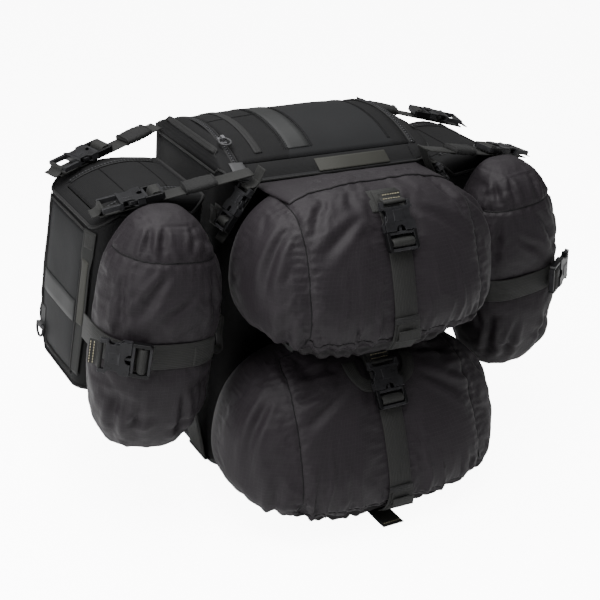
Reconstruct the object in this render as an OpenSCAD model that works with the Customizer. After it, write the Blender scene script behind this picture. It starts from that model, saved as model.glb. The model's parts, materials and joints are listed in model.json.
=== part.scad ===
// Motorcycle saddlebag set: a centre bag with two hung panniers and four
// roll pouches. X runs across the seat, -Y faces the rider, Z is up, and the
// origin is the centre of the underside of the base mat.

/* [Centre bag] */
// Width of the centre bag
bag_w = 368; // [300:2:440]
// Depth of the centre bag, front to rear
bag_d = 280; // [230:2:340]
// Height of the top of the crown above the seat
bag_h = 534; // [440:2:600]
// Radius of the upright corners
bag_corner = 38; // [25:1:60]
// Thickness of the padded wall
wall = 4; // [3:0.5:7]
// Thickness of the rubber base mat
mat_t = 9; // [6:1:14]
// Distance from each side of the bag to the lid opening
lid_side_rim = 34; // [28:1:46]
// Distance from the front and the rear of the bag to the lid opening
lid_end_rim = 28; // [24:1:40]

/* [Panniers] */
// Gap between the centre bag's side and the inner top edge of a pannier
hang_gap = 22; // [12:1:50]
// Height of the inner top edge of a pannier
hang_z = 466; // [400:2:520]
// Width of a pannier, across the bike
pan_w = 168; // [130:2:200]
// Depth of a pannier, front to rear
pan_d = 196; // [150:2:230]
// Height of a pannier below its inner top edge
pan_h = 292; // [240:2:330]
// Distance that the pannier's middle sits in front of the bag's middle
pan_forward = 30; // [0:1:60]
// Angle that the panniers splay outwards at the bottom
splay = 7; // [0:0.5:12]
// Fall of the domed top from its crown to the outer edge
dome_fall = 52; // [40:1:70]

/* [Roll pouches] */
// Width of a side pouch
side_pouch_w = 176; // [140:2:200]
// Depth of a side pouch in front of its pannier
side_pouch_d = 120; // [80:2:150]
// Height of a side pouch
side_pouch_h = 370; // [300:2:420]
// Width of the upper pouch
upper_w = 400; // [320:2:440]
// Depth of the upper pouch
upper_d = 196; // [150:2:240]
// Height of the upper pouch
upper_h = 250; // [220:2:270]
// Width of the lower pouch
lower_w = 448; // [360:2:480]
// Depth of the lower pouch
lower_d = 226; // [180:2:260]
// Height of the lower pouch
lower_h = 260; // [220:2:290]

/* [Webbing and buckles] */
// Width of the wide webbing
web_w = 38; // [30:1:40]
// Width of the linking webbing
link_w = 30; // [25:1:34]
// Thickness of the webbing
web_t = 1.8; // [1.2:0.1:2.4]
// Length of the female half of a buckle
female_l = 44; // [40:1:50]
// Length of the part of the male half that stays outside
male_l = 28; // [24:1:34]
// Thickness of a buckle
buckle_t = 12; // [11:0.5:15]
// Wire radius of a D-ring
ring_wire = 2; // [1.5:0.1:2.5]
// Inner half width of a D-ring
ring_half = 11; // [9:0.5:14]

/* [Hidden] */
$fn = 64;

left = -1;
right = 1;
gap = 0.5;              // clearance between soft pieces
slit = 1.2;             // width of a zip's slit
skin_gap = 0.8;         // clearance between a pouch and what lies on it
liner_t = 1.2;
board_t = 3;
patch_t = 1.2;
yoke_t = 2.2;

// ---- crown of the centre bag: an arc in the YZ plane ----
crown_fall = 44;        // fall of the crown at the front and the rear
crown_r = (pow(bag_d / 2, 2) + pow(crown_fall, 2)) / (2 * crown_fall);
crown_z = bag_h - crown_r;
strap_z = mat_t;        // the saddle straps lie on the mat
saddle_t = 2.4;
shell_z = mat_t + saddle_t + gap;

// lid opening
open_x = bag_w / 2 - lid_side_rim;
open_y = bag_d / 2 - lid_end_rim;

// ---- panniers ----
hang_x = bag_w / 2 + hang_gap;            // inner top edge, the line that a pannier hangs from
pan_y = -pan_forward;                     // middle of the pannier
pan_front = pan_y - pan_d / 2;
pan_rear = pan_y + pan_d / 2;
dome_in = 44;                             // crown line's distance from the inner face
dome_out = pan_w - dome_in;
dome_r = (pow(dome_out, 2) + pow(dome_fall, 2)) / (2 * dome_fall);
dome_rise = dome_r - sqrt(pow(dome_r, 2) - pow(dome_in, 2));
dome_top = hang_z + dome_rise;
dome_cx = hang_x + dome_in;
dome_cz = dome_top - dome_r;
pan_bottom = hang_z - pan_h;
flap_rim = 40;                            // fixed rim at the front and the rear of a dome
flap_out = 14;                            // fixed rim at the outer edge
heel_cut_y = 56;
heel_cut_z = 66;

// ---- pouches: each is its front, back, side and up half sizes and its shape ----
// [half width, depth in front, half height, depth behind, taper, swell of the foot, plan squareness]
round_up = 0.74;        // squareness of every pouch seen from the side
side_back = 31;
upper_back = 71;
lower_back = 91;
side_form = [side_pouch_w / 2, side_pouch_d - side_back, side_pouch_h / 2, side_back, 0.02, 0.05, 0.72];
upper_form = [upper_w / 2, upper_d - upper_back, upper_h / 2, upper_back, 0.03, 0.35, 0.62];
lower_form = [lower_w / 2, lower_d - lower_back, lower_h / 2, lower_back, 0.06, 0.42, 0.62];
pouch_rise = 10;        // rise of a side pouch's top above its pannier's inner top edge
side_pouch_c = [hang_x + pan_w / 2 + 2, pan_front - side_back - 5, hang_z + pouch_rise - side_pouch_h / 2];
upper_c = [0, -bag_d / 2 - upper_back - yoke_t - 3, lower_h + gap + upper_h / 2];
lower_c = [0, -bag_d / 2 - lower_back - 1, lower_h / 2];

function spow(v, e) = sign(v) * pow(abs(v), e);

// A point of a pouch's skin: turn goes round the upright axis, lift goes up it
function skin(form, turn, lift) =
    let (flat = spow(cos(lift), round_up),
         rise = spow(sin(lift), round_up),
         y = spow(sin(turn), form[6]) * flat)
    [form[0] * (1 - form[4] * rise) * flat * spow(cos(turn), form[6]),
     y < 0 ? form[1] * y * (1 - form[5] * rise) : form[3] * y,
     form[2] * rise];

// The 2-D path moved sideways by d, to the right of its direction
function path_dir(p, i) =
    let (a = p[max(i - 1, 0)], b = p[min(i + 1, len(p) - 1)], d = b - a)
    d / norm(d);
function shifted(p, d) = [for (i = [0:len(p) - 1]) let (t = path_dir(p, i)) p[i] + d * [t[1], -t[0]]];
function reversed(p) = [for (i = [len(p) - 1:-1:0]) p[i]];

// ---------- general shapes ----------
module rounded_rect(w, d, r) {
    square([w - 2 * r, d], center = true);
    square([w, d - 2 * r], center = true);
    for (x = [-1, 1], y = [-1, 1])
        translate([x * (w / 2 - r), y * (d / 2 - r)]) circle(r);
}

// A flat band of thickness t that runs along a 2-D path, from d to d + t beside it
module band_2d(path, d, t) {
    polygon(concat(shifted(path, d), reversed(shifted(path, d + t))));
}

module side(s) {
    if (s == left) mirror([1, 0, 0]) children();
    else children();
}

// The panniers turn about their inner top edge
module hung() {
    translate([hang_x, 0, hang_z]) rotate([0, -splay, 0]) translate([-hang_x, 0, -hang_z]) children();
}

// Puts a child at p with its X along x_dir and its Z as near to z_dir as can be
module placed(p, x_dir, z_dir) {
    x = x_dir / norm(x_dir);
    y0 = cross(z_dir, x);
    y = y0 / norm(y0);
    z = cross(x, y);
    multmatrix([[x[0], y[0], z[0], p[0]], [x[1], y[1], z[1], p[1]], [x[2], y[2], z[2], p[2]], [0, 0, 0, 1]])
        children();
}

module pouch_solid(form) {
    turns = 36;
    lifts = 15;
    ring_lift = [for (j = [1:lifts]) -90 + 180 * j / (lifts + 1)];
    points = concat([[0, 0, -form[2]]],
        [for (l = ring_lift) for (i = [0:turns - 1]) skin(form, 360 * i / turns, l)],
        [[0, 0, form[2]]]);
    top = turns * lifts + 1;
    faces = concat(
        [for (i = [0:turns - 1]) [0, 1 + i, 1 + (i + 1) % turns]],
        [for (j = [0:lifts - 2]) for (i = [0:turns - 1])
            let (a = 1 + j * turns + i, b = 1 + j * turns + (i + 1) % turns) [a, a + turns, b]],
        [for (j = [0:lifts - 2]) for (i = [0:turns - 1])
            let (a = 1 + j * turns + i, b = 1 + j * turns + (i + 1) % turns) [b, a + turns, b + turns]],
        [for (i = [0:turns - 1]) let (a = 1 + (lifts - 1) * turns) [top, a + (i + 1) % turns, a + i]]);
    polyhedron(points, faces, convexity = 4);
}

// ---------- centre bag ----------
module bag_form(inset, bottom) {
    w = bag_w - 2 * inset;
    d = bag_d - 2 * inset;
    r = bag_corner - inset;
    top = bag_h - inset;
    intersection() {
        translate([0, 0, bottom]) linear_extrude(top - bottom) rounded_rect(w, d, r);
        union() {
            translate([0, 0, crown_z]) rotate([0, 90, 0]) cylinder(r = crown_r - inset, h = w, center = true, $fn = 180);
            translate([-w / 2, -d / 2, bottom]) cube([w, d, crown_z + crown_r / 2 - bottom]);
        }
        rotate([90, 0, 0]) translate([0, top / 2 - 2 * r, -d / 2]) linear_extrude(d)
            rounded_rect(w, top + 4 * r, r);
    }
}

module lid_window(inset) {
    translate([-open_x + inset, -open_y + inset, bag_h - 2 * crown_fall])
        cube([2 * (open_x - inset), 2 * (open_y - inset), 3 * crown_fall]);
}

// A strip on the crown between x0 and x1, from y0 to y1, standing from h0 to h1 above it
module crown_strip(x0, x1, y0, y1, h0, h1) {
    a0 = asin(y0 / crown_r);
    a1 = asin(y1 / crown_r);
    translate([x0, 0, crown_z]) rotate([0, 90, 0]) rotate([0, 0, 180 - a1])
        rotate_extrude(angle = a1 - a0, $fn = 180) translate([crown_r + h0, 0]) square([h1 - h0, x1 - x0]);
}

module base_mat() {
    color("#232425") linear_extrude(mat_t) rounded_rect(bag_w - 8, bag_d - 8, bag_corner - 4);
}

module base_board() {
    color("#3a3a3c") translate([0, 0, shell_z + wall + gap])
        linear_extrude(board_t) rounded_rect(bag_w - 2 * wall - 6, bag_d - 2 * wall - 6, bag_corner - wall - 3);
}

module centre_shell() {
    color("#2b2b2d") difference() {
        bag_form(0, shell_z);
        bag_form(wall, shell_z + wall);
        lid_window(0);
    }
}

module centre_liner() {
    bottom = shell_z + wall + board_t + 2 * gap;
    top = bag_h - 2 * crown_fall - 12;
    w = bag_w - 2 * wall - 2 * gap;
    d = bag_d - 2 * wall - 2 * gap;
    r = bag_corner - wall - gap;
    color("#6d6f70") translate([0, 0, bottom]) difference() {
        linear_extrude(top - bottom) rounded_rect(w, d, r);
        translate([0, 0, liner_t]) linear_extrude(top) rounded_rect(w - 2 * liner_t, d - 2 * liner_t, r - liner_t);
    }
}

module centre_lid() {
    color("#3c3d3f") intersection() {
        difference() {
            bag_form(0, shell_z);
            bag_form(wall, shell_z + wall);
        }
        lid_window(slit);
    }
}

stripe_x = -62;
stripe_w = 38;
module lid_stripe() {
    color("#5f6062") crown_strip(stripe_x, stripe_x + stripe_w, -open_y + 6, open_y - 6, 0.05, 0.85);
}

zip_tape = 11;
zip_ridge = 2;
module zip_tapes() {
    color("#1d1d1e") for (s = [left, right]) {
        x = s * (open_x + 0.5 + zip_tape / 2);
        crown_strip(x - zip_tape / 2, x + zip_tape / 2, -open_y, open_y, 0.05, 0.8);
        crown_strip(x - 2.5, x + 2.5, -open_y, open_y, 0.8, zip_ridge);
        side(s) hung() pan_zips();
    }
}

slider_x = -(open_x + 0.5 + zip_tape / 2);
slider_y = -64;                           // where the slider stands at rest
slider_l = 15;
bridge_w = 5;
bridge_h = 7;
bridge_bore = 2.3;
puller_wire = 1.7;
puller_r = 9;
slider_angle = asin(slider_y / crown_r);
// A frame standing on the crown's surface at the slider, with X across and Y along the zip
module at_slider() {
    translate([slider_x, 0, crown_z]) rotate([-slider_angle, 0, 0]) translate([0, 0, crown_r]) children();
}
module zip_slider() {
    color("#1a1a1b") {
        crown_strip(slider_x - 5, slider_x + 5, slider_y - slider_l / 2, slider_y + slider_l / 2,
            zip_ridge + 0.3, zip_ridge + 3.5);
        at_slider() difference() {
            translate([-bridge_w / 2, -4, zip_ridge + 3]) cube([bridge_w, 8, bridge_h]);
            translate([-bridge_w, 0, zip_ridge + 3 + bridge_h / 2]) rotate([0, 90, 0])
                cylinder(r = bridge_bore, h = 2 * bridge_w);
        }
    }
}
module zip_ring() {
    color("#2a2a2b") at_slider() translate([0, -puller_r, zip_ridge + 3 + bridge_h / 2])
        rotate_extrude() translate([puller_r, 0]) circle(puller_wire, $fn = 24);
}

// Band that caps the front of the crown and comes down on the upper pouch
yoke_w = bag_w - 2 * bag_corner;
yoke_drop = 34;
module front_yoke() {
    steps = 12;
    edge = open_y + 3;
    arc = [for (i = [0:steps]) let (y = edge + (bag_d / 2 - edge) * i / steps)
        [-y, crown_z + sqrt(pow(crown_r, 2) - pow(y, 2))]];
    path = concat(arc, [[-bag_d / 2, arc[steps][1] - yoke_drop]]);
    color("#38393a") translate([-yoke_w / 2, 0, 0]) rotate([90, 0, 90]) linear_extrude(yoke_w)
        band_2d(path, gap, yoke_t);
}

// Straps that carry the panniers, lying between the mat and the shell
module saddle_straps() {
    reach = pan_h * sin(splay) + hang_x + 2;
    inner_z = pan_bottom + 60;
    path = [[0, strap_z], [bag_w / 2 + 6, strap_z], [reach - 18, inner_z - 26]];
    color("#2f302e") for (y = [-0.3, 0.3]) for (s = [left, right]) side(s)
        translate([0, y * bag_d + link_w, 0]) rotate([90, 0, 0]) linear_extrude(2 * link_w)
            band_2d(path, -saddle_t, saddle_t);
}

// ---------- buckles ----------
// Both halves share one frame: X from the anchor bar to the webbing, Z outwards, 0 at the back.
// w is the webbing's width and mouth the length of the female half.
cheek = 6;              // width of a buckle beyond its webbing, on each side
plate = 2.2;            // thickness of the female half's front and back plates
anchor_l = 11;          // length of a female half's webbing bar and slot
chamber_l = female_l - anchor_l;
prong_l = chamber_l - 9;
module female_half(w, mouth) {
    h = w / 2 + cheek;
    // [distance from the mouth in chamber lengths, depth in cheeks] along one edge
    waist = [[mouth / chamber_l, 0], [1.06, 0], [0.88, 1], [0.58, 1], [0.36, 0], [0, 0]];
    difference() {
        linear_extrude(buckle_t) polygon([for (s = [-1, 1]) for (p = s < 0 ? waist : reversed(waist))
            [mouth - p[0] * chamber_l, s * (h - p[1] * cheek)]]);
        translate([mouth - chamber_l, -h + 3, plate]) cube([mouth, 2 * h - 6, buckle_t - 2 * plate]);
        translate([3.5, -w / 2 - 0.5, -1]) cube([5, w + 1, buckle_t + 2]);
        translate([mouth - 8, -w / 5, buckle_t - 3]) cube([9, 2 * w / 5, 4]);
    }
}
module male_half(w, mouth) {
    h = w / 2 + cheek;
    x = mouth + 0.4;
    difference() {
        translate([x, -h, 0.4]) cube([male_l, 2 * h, buckle_t - 2]);
        translate([x + 5, -w / 2 - 0.5, -1]) cube([8, w + 1, buckle_t + 2]);
        translate([x + 17, -w / 2 - 0.5, -1]) cube([male_l - 21, w + 1, buckle_t + 2]);
        translate([x - 1, -w / 2 - 0.5, buckle_t - 5]) cube([male_l - 3, w + 1, 5]);
    }
    for (y = [-1, 1]) translate([mouth - prong_l, y * (h - 8.5) - 3, 3.2]) cube([prong_l + 1, 6, 5.4]);
    translate([mouth - 14, -2.5, 3.2]) cube([15, 5, 5.4]);
}

// Flat webbing from p to q, with its width as level as can be
module strap(p, q, w, t) {
    placed(p, q - p, [0, 0, 1]) translate([0, -w / 2, 0]) cube([norm(q - p), w, t]);
}

// ---------- pouches in the middle ----------
module front_web(c, form, from, to, w, d, t) {
    steps = 24;
    path = [for (i = [0:steps]) let (p = skin(form, -90, from + (to - from) * i / steps)) [p[1], p[2]]];
    translate([c[0] - w / 2, c[1], c[2]]) rotate([90, 0, 90]) linear_extrude(w) band_2d(path, d, t);
}

// Buckle frame on the front of a pouch at the given lift, pointing down the strap
module on_front(c, form, lift) {
    p = skin(form, -90, lift);
    down = skin(form, -90, lift - 1) - p;
    out = cross(down, [1, 0, 0]);
    n = out / norm(out);
    placed(c + p + n * (skin_gap + patch_t + web_t + 1.1), down, n) translate([-female_l, 0, 0]) children();
}

upper_buckle_lift = 27;
lower_buckle_lift = 30;
module upper_pouch() {
    color("#3b383b") translate(upper_c) pouch_solid(upper_form);
}
module lower_pouch() {
    color("#3b383b") translate(lower_c) pouch_solid(lower_form);
}
module upper_strap() {
    color("#333532") {
        front_web(upper_c, upper_form, 66, 44, web_w + 20, skin_gap, patch_t);
        front_web(upper_c, upper_form, 64, -46, web_w, skin_gap + patch_t + 0.2, web_t);
    }
}
module lower_strap() {
    color("#333532") {
        front_web(lower_c, lower_form, 66, 46, web_w + 20, skin_gap, patch_t);
        front_web(lower_c, lower_form, 64, -50, web_w, skin_gap + patch_t + 0.2, web_t);
    }
}
module upper_female() {
    color("#1b1b1c") on_front(upper_c, upper_form, upper_buckle_lift) female_half(web_w, female_l);
}
module upper_male() {
    color("#222223") on_front(upper_c, upper_form, upper_buckle_lift) male_half(web_w, female_l);
}
module lower_female() {
    color("#1b1b1c") on_front(lower_c, lower_form, lower_buckle_lift) female_half(web_w, female_l);
}
module lower_male() {
    color("#222223") on_front(lower_c, lower_form, lower_buckle_lift) male_half(web_w, female_l);
}

// ---------- panniers ----------
module pan_form(inset) {
    w = pan_w - 2 * inset;
    d = pan_d - 2 * inset;
    y0 = pan_front + inset;
    y1 = pan_rear - inset;
    z0 = pan_bottom + inset;
    top = dome_top - inset;
    edge = 26 - inset;
    intersection() {
        translate([hang_x + pan_w / 2, pan_y, z0]) linear_extrude(top - z0) rounded_rect(w, d, 24 - inset);
        union() {
            translate([dome_cx, y0, dome_cz]) rotate([-90, 0, 0]) cylinder(r = dome_r - inset, h = d, $fn = 180);
            translate([hang_x + inset, y0, z0]) cube([w, d, dome_cz + dome_r / 2 - z0]);
        }
        translate([hang_x, 0, 0]) rotate([90, 0, 90]) linear_extrude(pan_w) union() {
            polygon([[y0, z0 + edge], [y0 + edge, z0], [y1 - heel_cut_y, z0], [y1, z0 + heel_cut_z],
                [y1, top - edge], [y0, top - edge]]);
            translate([y0 + edge, top - 2 * edge]) square([d - 2 * edge, 2 * edge]);
            for (y = [y0 + edge, y1 - edge]) translate([y, top - edge]) circle(edge);
        }
    }
}

module flap_window(inset) {
    translate([hang_x + inset, pan_front + flap_rim + inset, dome_top - dome_fall])
        cube([pan_w - flap_out - 2 * inset, pan_d - 2 * flap_rim - 2 * inset, 2 * dome_fall]);
}

module pan_shell(s) {
    color("#2b2b2d") side(s) hung() difference() {
        pan_form(0);
        pan_form(wall);
        difference() {
            flap_window(0);
            translate([0, -500, 0]) cube([hang_x + wall + 2, 1000, 1000]);
        }
    }
}

module pan_lid(s) {
    color("#303032") side(s) hung() intersection() {
        difference() {
            pan_form(0);
            pan_form(wall);
        }
        flap_window(slit);
        translate([hang_x + wall + 2 + slit, -500, 0]) cube([pan_w, 1000, 1000]);
    }
}

liner_top = dome_top - dome_fall - 16;
module pan_liner(s) {
    x0 = hang_x + wall + board_t + 2 * gap;
    w = pan_w - 2 * wall - board_t - 3 * gap;
    d = pan_d - 2 * wall - 2 * gap;
    z0 = pan_bottom + heel_cut_z + wall;
    color("#6d6f70") side(s) hung() translate([x0 + w / 2, pan_y, z0]) difference() {
        linear_extrude(liner_top - z0) rounded_rect(w, d, 19);
        translate([0, 0, liner_t]) linear_extrude(liner_top) rounded_rect(w - 2 * liner_t, d - 2 * liner_t, 17);
    }
}

module pan_board(s) {
    z0 = pan_bottom + heel_cut_z;
    color("#3a3a3c") side(s) hung() translate([hang_x + wall + gap, pan_front + 34, z0])
        cube([board_t, pan_d - 68, liner_top - z0]);
}

panel_t = 2.5;
panel_top = dome_top - dome_fall - 8;
module pan_panel(s) {
    y0 = pan_front + 30;
    y1 = pan_rear - 26;
    z0 = pan_bottom + 12;
    color("#3c3d3f") side(s) hung() translate([hang_x + pan_w + 0.2, 0, 0]) rotate([90, 0, 90]) linear_extrude(panel_t)
        polygon([[y0, z0], [y1 - heel_cut_y + 20, z0], [y1, z0 + heel_cut_z], [y1, panel_top], [y0, panel_top]]);
}

band_w = 30;
module pan_band(s) {
    color("#3d3d3a") side(s) hung() translate([hang_x + pan_w + 0.2, 0, 0]) rotate([90, 0, 90]) linear_extrude(1.6)
        polygon([[pan_front + 29, pan_bottom + 14], [pan_front + 29, panel_top + 4],
            [pan_front + 24, panel_top + 4], [pan_front + 24, pan_bottom + 20]]);
}

stripe_z = pan_bottom + 94;
stripe_h = 34;
module reflectors() {
    color("#5f6062") for (s = [left, right]) side(s) hung()
        translate([hang_x + pan_w + panel_t + 0.4, pan_front + 34, stripe_z])
        cube([0.8, pan_d - 66, stripe_h]);
}

module side_pouch(s) {
    color("#3b383b") side(s) hung() translate(side_pouch_c) pouch_solid(side_form);
}

// ---------- belts ----------
belt_z = -8;            // height of the belt above the middle of the pouch
belt_turn = -56;        // where the belt buckle's mouth sits, round the pouch from its outer side
module belt(s) {
    steps = 44;
    arc = [for (i = [0:steps]) let (p = skin(side_form, -178 + 176 * i / steps, 0)) [p[0], p[1]]];
    root_y = side_back - 2;
    path = concat([[arc[0][0], root_y]], arc, [[arc[steps][0], root_y]]);
    color("#333532") side(s) hung() translate(side_pouch_c + [0, 0, belt_z - web_w / 2]) linear_extrude(web_w)
        band_2d(path, skin_gap, web_t);
}
module on_belt(s) {
    p = skin(side_form, belt_turn, 0);
    inward = skin(side_form, belt_turn - 1, 0) - p;
    out = cross([0, 0, 1], inward);
    n = out / norm(out);
    side(s) hung() placed(side_pouch_c + p + [0, 0, belt_z] + n * (skin_gap + web_t + 0.8), inward, n)
        translate([-female_l, 0, 0]) children();
}
module belt_female(s) {
    color("#1b1b1c") on_belt(s) female_half(web_w, female_l);
}
module belt_male(s) {
    color("#222223") on_belt(s) male_half(web_w, female_l);
}

// ---------- straps that link the panniers to the centre bag ----------
function hung_point(p) =
    let (x = p[0] - hang_x, z = p[2] - hang_z)
    [hang_x + x * cos(splay) - z * sin(splay), p[1], hang_z + x * sin(splay) + z * cos(splay)];
link_end_h = 26;        // height of a link strap's outer end above the dome's outer edge
link_out_z = dome_top - dome_fall + link_end_h;
front_out = hung_point([hang_x + pan_w - 4, pan_front + 9, link_out_z]);
front_in = [yoke_w / 2 + 6, -bag_d / 2 - 12, bag_h - 22];
rear_out = hung_point([hang_x + pan_w - 4, pan_rear - 16, link_out_z]);
rear_in = [bag_w / 2 + 5, bag_d / 2 - bag_corner - 2, bag_h - 28];
LINKS = [[front_out, front_in], [rear_out, rear_in]];
link_female_l = 62;     // the link buckles carry a second webbing bar
grip_from = 122;        // distance of a grip from the strap's outer end, clear of the released buckle
grip_l = 54;
grip_t = 15;

module link_straps() {
    color("#2f302e") for (s = [left, right]) side(s) for (l = LINKS) strap(l[0], l[1], link_w, web_t);
}
module link_grips() {
    color("#262725") for (s = [left, right]) side(s) for (l = LINKS)
        placed(l[0], l[1] - l[0], [0, 0, 1]) translate([grip_from, 0, 0]) difference() {
            translate([0, -link_w / 2 - 4, -3]) rotate([90, 0, 90]) linear_extrude(grip_l)
                translate([link_w / 2 + 4, grip_t / 2]) rounded_rect(link_w + 8, grip_t, 5);
            translate([-1, -link_w / 2 - 0.3, -0.3]) cube([grip_l + 2, link_w + 0.6, web_t + 0.6]);
        }
}
module on_link(l) {
    placed(l[0], l[1] - l[0], [0, 0, 1]) translate([4, 0, web_t + 0.6]) children();
}
module link_females() {
    color("#1b1b1c") for (s = [left, right]) side(s) for (l = LINKS) on_link(l) female_half(link_w, link_female_l);
}
module link_male(s, l) {
    color("#222223") side(s) on_link(l) male_half(link_w, link_female_l);
}

// ---------- compression straps at the front corners of the centre bag ----------
corner_w = 24;
corner_top = [yoke_w / 2 + 8, -bag_d / 2 - 20, bag_h - 44];
corner_slope = 56;      // fall of a corner strap below the level
corner_dir = [cos(corner_slope), 0, -sin(corner_slope)];
corner_len = 92;
corner_lead = 2;        // strap above a corner buckle
corner_end = corner_top + corner_len * corner_dir;
module at_corner(s) {
    side(s) placed(corner_top, corner_dir, [sin(corner_slope), 0, cos(corner_slope)]) children();
}
module corner_straps() {
    color("#2f302e") for (s = [left, right]) {
        at_corner(s) translate([0, -corner_w / 2, 0]) cube([corner_len, corner_w, web_t]);
        side(s) translate([bag_w / 2 + 0.4, -bag_d / 2 + bag_corner + 4, corner_end[2] - 60]) cube([web_t, corner_w, 96]);
    }
}
module corner_females() {
    color("#1b1b1c") for (s = [left, right]) at_corner(s) translate([corner_lead, 0, web_t + 0.6]) female_half(corner_w, female_l);
}
module corner_male(s) {
    color("#222223") at_corner(s) translate([corner_lead, 0, web_t + 0.6]) male_half(corner_w, female_l);
}

// ---------- webbing loops and tabs ----------
loop_w = 20;
// A hanging loop in the XZ plane: two arms joined by a half round at the foot
module hanging_loop(x, y, z, r, drop) {
    translate([x, y + loop_w / 2, z]) rotate([90, 0, 0]) linear_extrude(loop_w) {
        for (s = [-1, 1]) translate([s * r - web_t / 2, -drop]) square([web_t, drop]);
        translate([-r - web_t / 2, -web_t]) square([2 * r + web_t, web_t]);
        intersection() {
            translate([0, -drop]) difference() {
                circle(r + web_t / 2);
                circle(r - web_t / 2);
            }
            translate([-2 * r, -drop - 2 * r]) square([4 * r, 2 * r]);
        }
    }
}
module loose_webbing() {
    color("#333532") {
        for (s = [left, right]) side(s) {
            hanging_loop(bag_w / 2 + 10, -bag_d / 2 + 12, hang_z - 10, 5, 26);
            hanging_loop(bag_w / 2 + 27, -bag_d / 2 - 34, lower_h + 42, 9, 50);
        }
        translate([-web_w / 2, lower_c[1] - lower_form[1] - 14, 0]) cube([web_w, 60, web_t]);
    }
}

ring_y = pan_rear - 44;
ring_z = pan_bottom + 36;
ring_x = hang_x + pan_w + panel_t + 0.2 + 5.2;
ring_fit = 0.08;        // running clearance of the ring's bar in its tab
tab_half = ring_half - 3;
module webbing_tabs() {
    color("#2f302e") for (s = [left, right]) side(s) hung() translate([0, ring_y, ring_z]) difference() {
        union() {
            translate([hang_x + pan_w + panel_t + 0.3, -tab_half, -3]) cube([2, 2 * tab_half, 34]);
            translate([hang_x + pan_w + panel_t + 0.3, -tab_half, -4.4]) cube([6.5, 2 * tab_half, 8.8]);
        }
        translate([ring_x, -tab_half - 1, 0]) rotate([-90, 0, 0]) cylinder(r = ring_wire + ring_fit, h = 2 * tab_half + 2);
    }
}
module d_ring(s) {
    color("#3a3a3b") side(s) hung() translate([ring_x, ring_y, ring_z]) {
        rotate([-90, 0, 0]) translate([0, 0, -ring_half - ring_wire]) cylinder(r = ring_wire, h = 2 * (ring_half + ring_wire));
        for (e = [-1, 1]) translate([0, e * (ring_half + ring_wire), -5]) {
            cylinder(r = ring_wire, h = 5);
            translate([0, 0, 5]) sphere(ring_wire);
        }
        translate([0, 0, -5]) rotate([0, 90, 0]) rotate([0, 0, -90]) rotate_extrude(angle = 180)
            translate([ring_half + ring_wire, 0]) circle(ring_wire);
    }
}

// ---------- zips of the domed lids ----------
// A strip on a dome's arc between the outward angles a0 and a1, from y0 to y1, h0 to h1 above it
module dome_strip(a0, a1, y0, y1, h0, h1) {
    translate([dome_cx, y1, dome_cz]) rotate([90, 0, 0]) rotate([0, 0, 90 - a1])
        rotate_extrude(angle = a1 - a0, $fn = 180) translate([dome_r + h0, 0]) square([h1 - h0, y1 - y0]);
}
dome_a0 = -asin((dome_in - 20) / dome_r);
dome_a1 = asin((dome_out - flap_out - 6) / dome_r);
dome_zip_y = pan_front + flap_rim - 0.5 - zip_tape / 2;
slider_a = 18;
module pan_zips() {
    for (e = [0, pan_d - 2 * flap_rim + zip_tape + 1]) {
        y = dome_zip_y + e;
        dome_strip(dome_a0, dome_a1, y - zip_tape / 2, y + zip_tape / 2, 0.05, 0.8);
        dome_strip(dome_a0, dome_a1, y - 2.5, y + 2.5, 0.8, zip_ridge);
    }
}
module pan_slider(s) {
    half_a = slider_l / 2 / dome_r * 180 / PI;
    color("#1a1a1b") side(s) hung() {
        dome_strip(slider_a - half_a, slider_a + half_a, dome_zip_y - 5, dome_zip_y + 5, zip_ridge + 0.3, zip_ridge + 3.5);
        dome_strip(slider_a - half_a / 2, slider_a + 3 * half_a, dome_zip_y - 3, dome_zip_y + 3, zip_ridge + 3, zip_ridge + 4.6);
    }
}

base_mat();
saddle_straps();
centre_shell();
base_board();
centre_liner();
centre_lid();
lid_stripe();
zip_tapes();
zip_slider();
zip_ring();
front_yoke();
upper_pouch();
upper_strap();
upper_female();
upper_male();
lower_pouch();
lower_strap();
lower_female();
lower_male();
corner_straps();
corner_females();
corner_male(left);  // left_corner_male
corner_male(right);  // right_corner_male
loose_webbing();
link_straps();
link_grips();
link_females();
reflectors();
webbing_tabs();
pan_shell(left);  // left_shell
pan_liner(left);  // left_liner
pan_board(left);  // left_board
pan_panel(left);  // left_panel
pan_band(left);  // left_band
pan_lid(left);  // left_lid
side_pouch(left);  // left_pouch
belt(left);  // left_belt
belt_female(left);  // left_belt_female
belt_male(left);  // left_belt_male
d_ring(left);  // left_ring
link_male(left, LINKS[0]);  // left_front_male
link_male(left, LINKS[1]);  // left_rear_male
pan_slider(left);  // left_slider
pan_shell(right);  // right_shell
pan_liner(right);  // right_liner
pan_board(right);  // right_board
pan_panel(right);  // right_panel
pan_band(right);  // right_band
pan_lid(right);  // right_lid
side_pouch(right);  // right_pouch
belt(right);  // right_belt
belt_female(right);  // right_belt_female
belt_male(right);  // right_belt_male
d_ring(right);  // right_ring
link_male(right, LINKS[0]);  // right_front_male
link_male(right, LINKS[1]);  // right_rear_male
pan_slider(right);  // right_slider
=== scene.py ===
"""Motorcycle saddlebag set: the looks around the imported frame.

Lengths are in metres, in the frame's own axes: X across the bike, -Y towards the rider, Z up.
Places come from the frame's boxes and joints. The right-hand pannier is built in its own tilted
frame and the left-hand one is its mirror image.
"""

import json
import math

import bpy
import numpy as np
from mathutils import Matrix, Vector, noise
from mathutils.bvhtree import BVHTree


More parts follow.
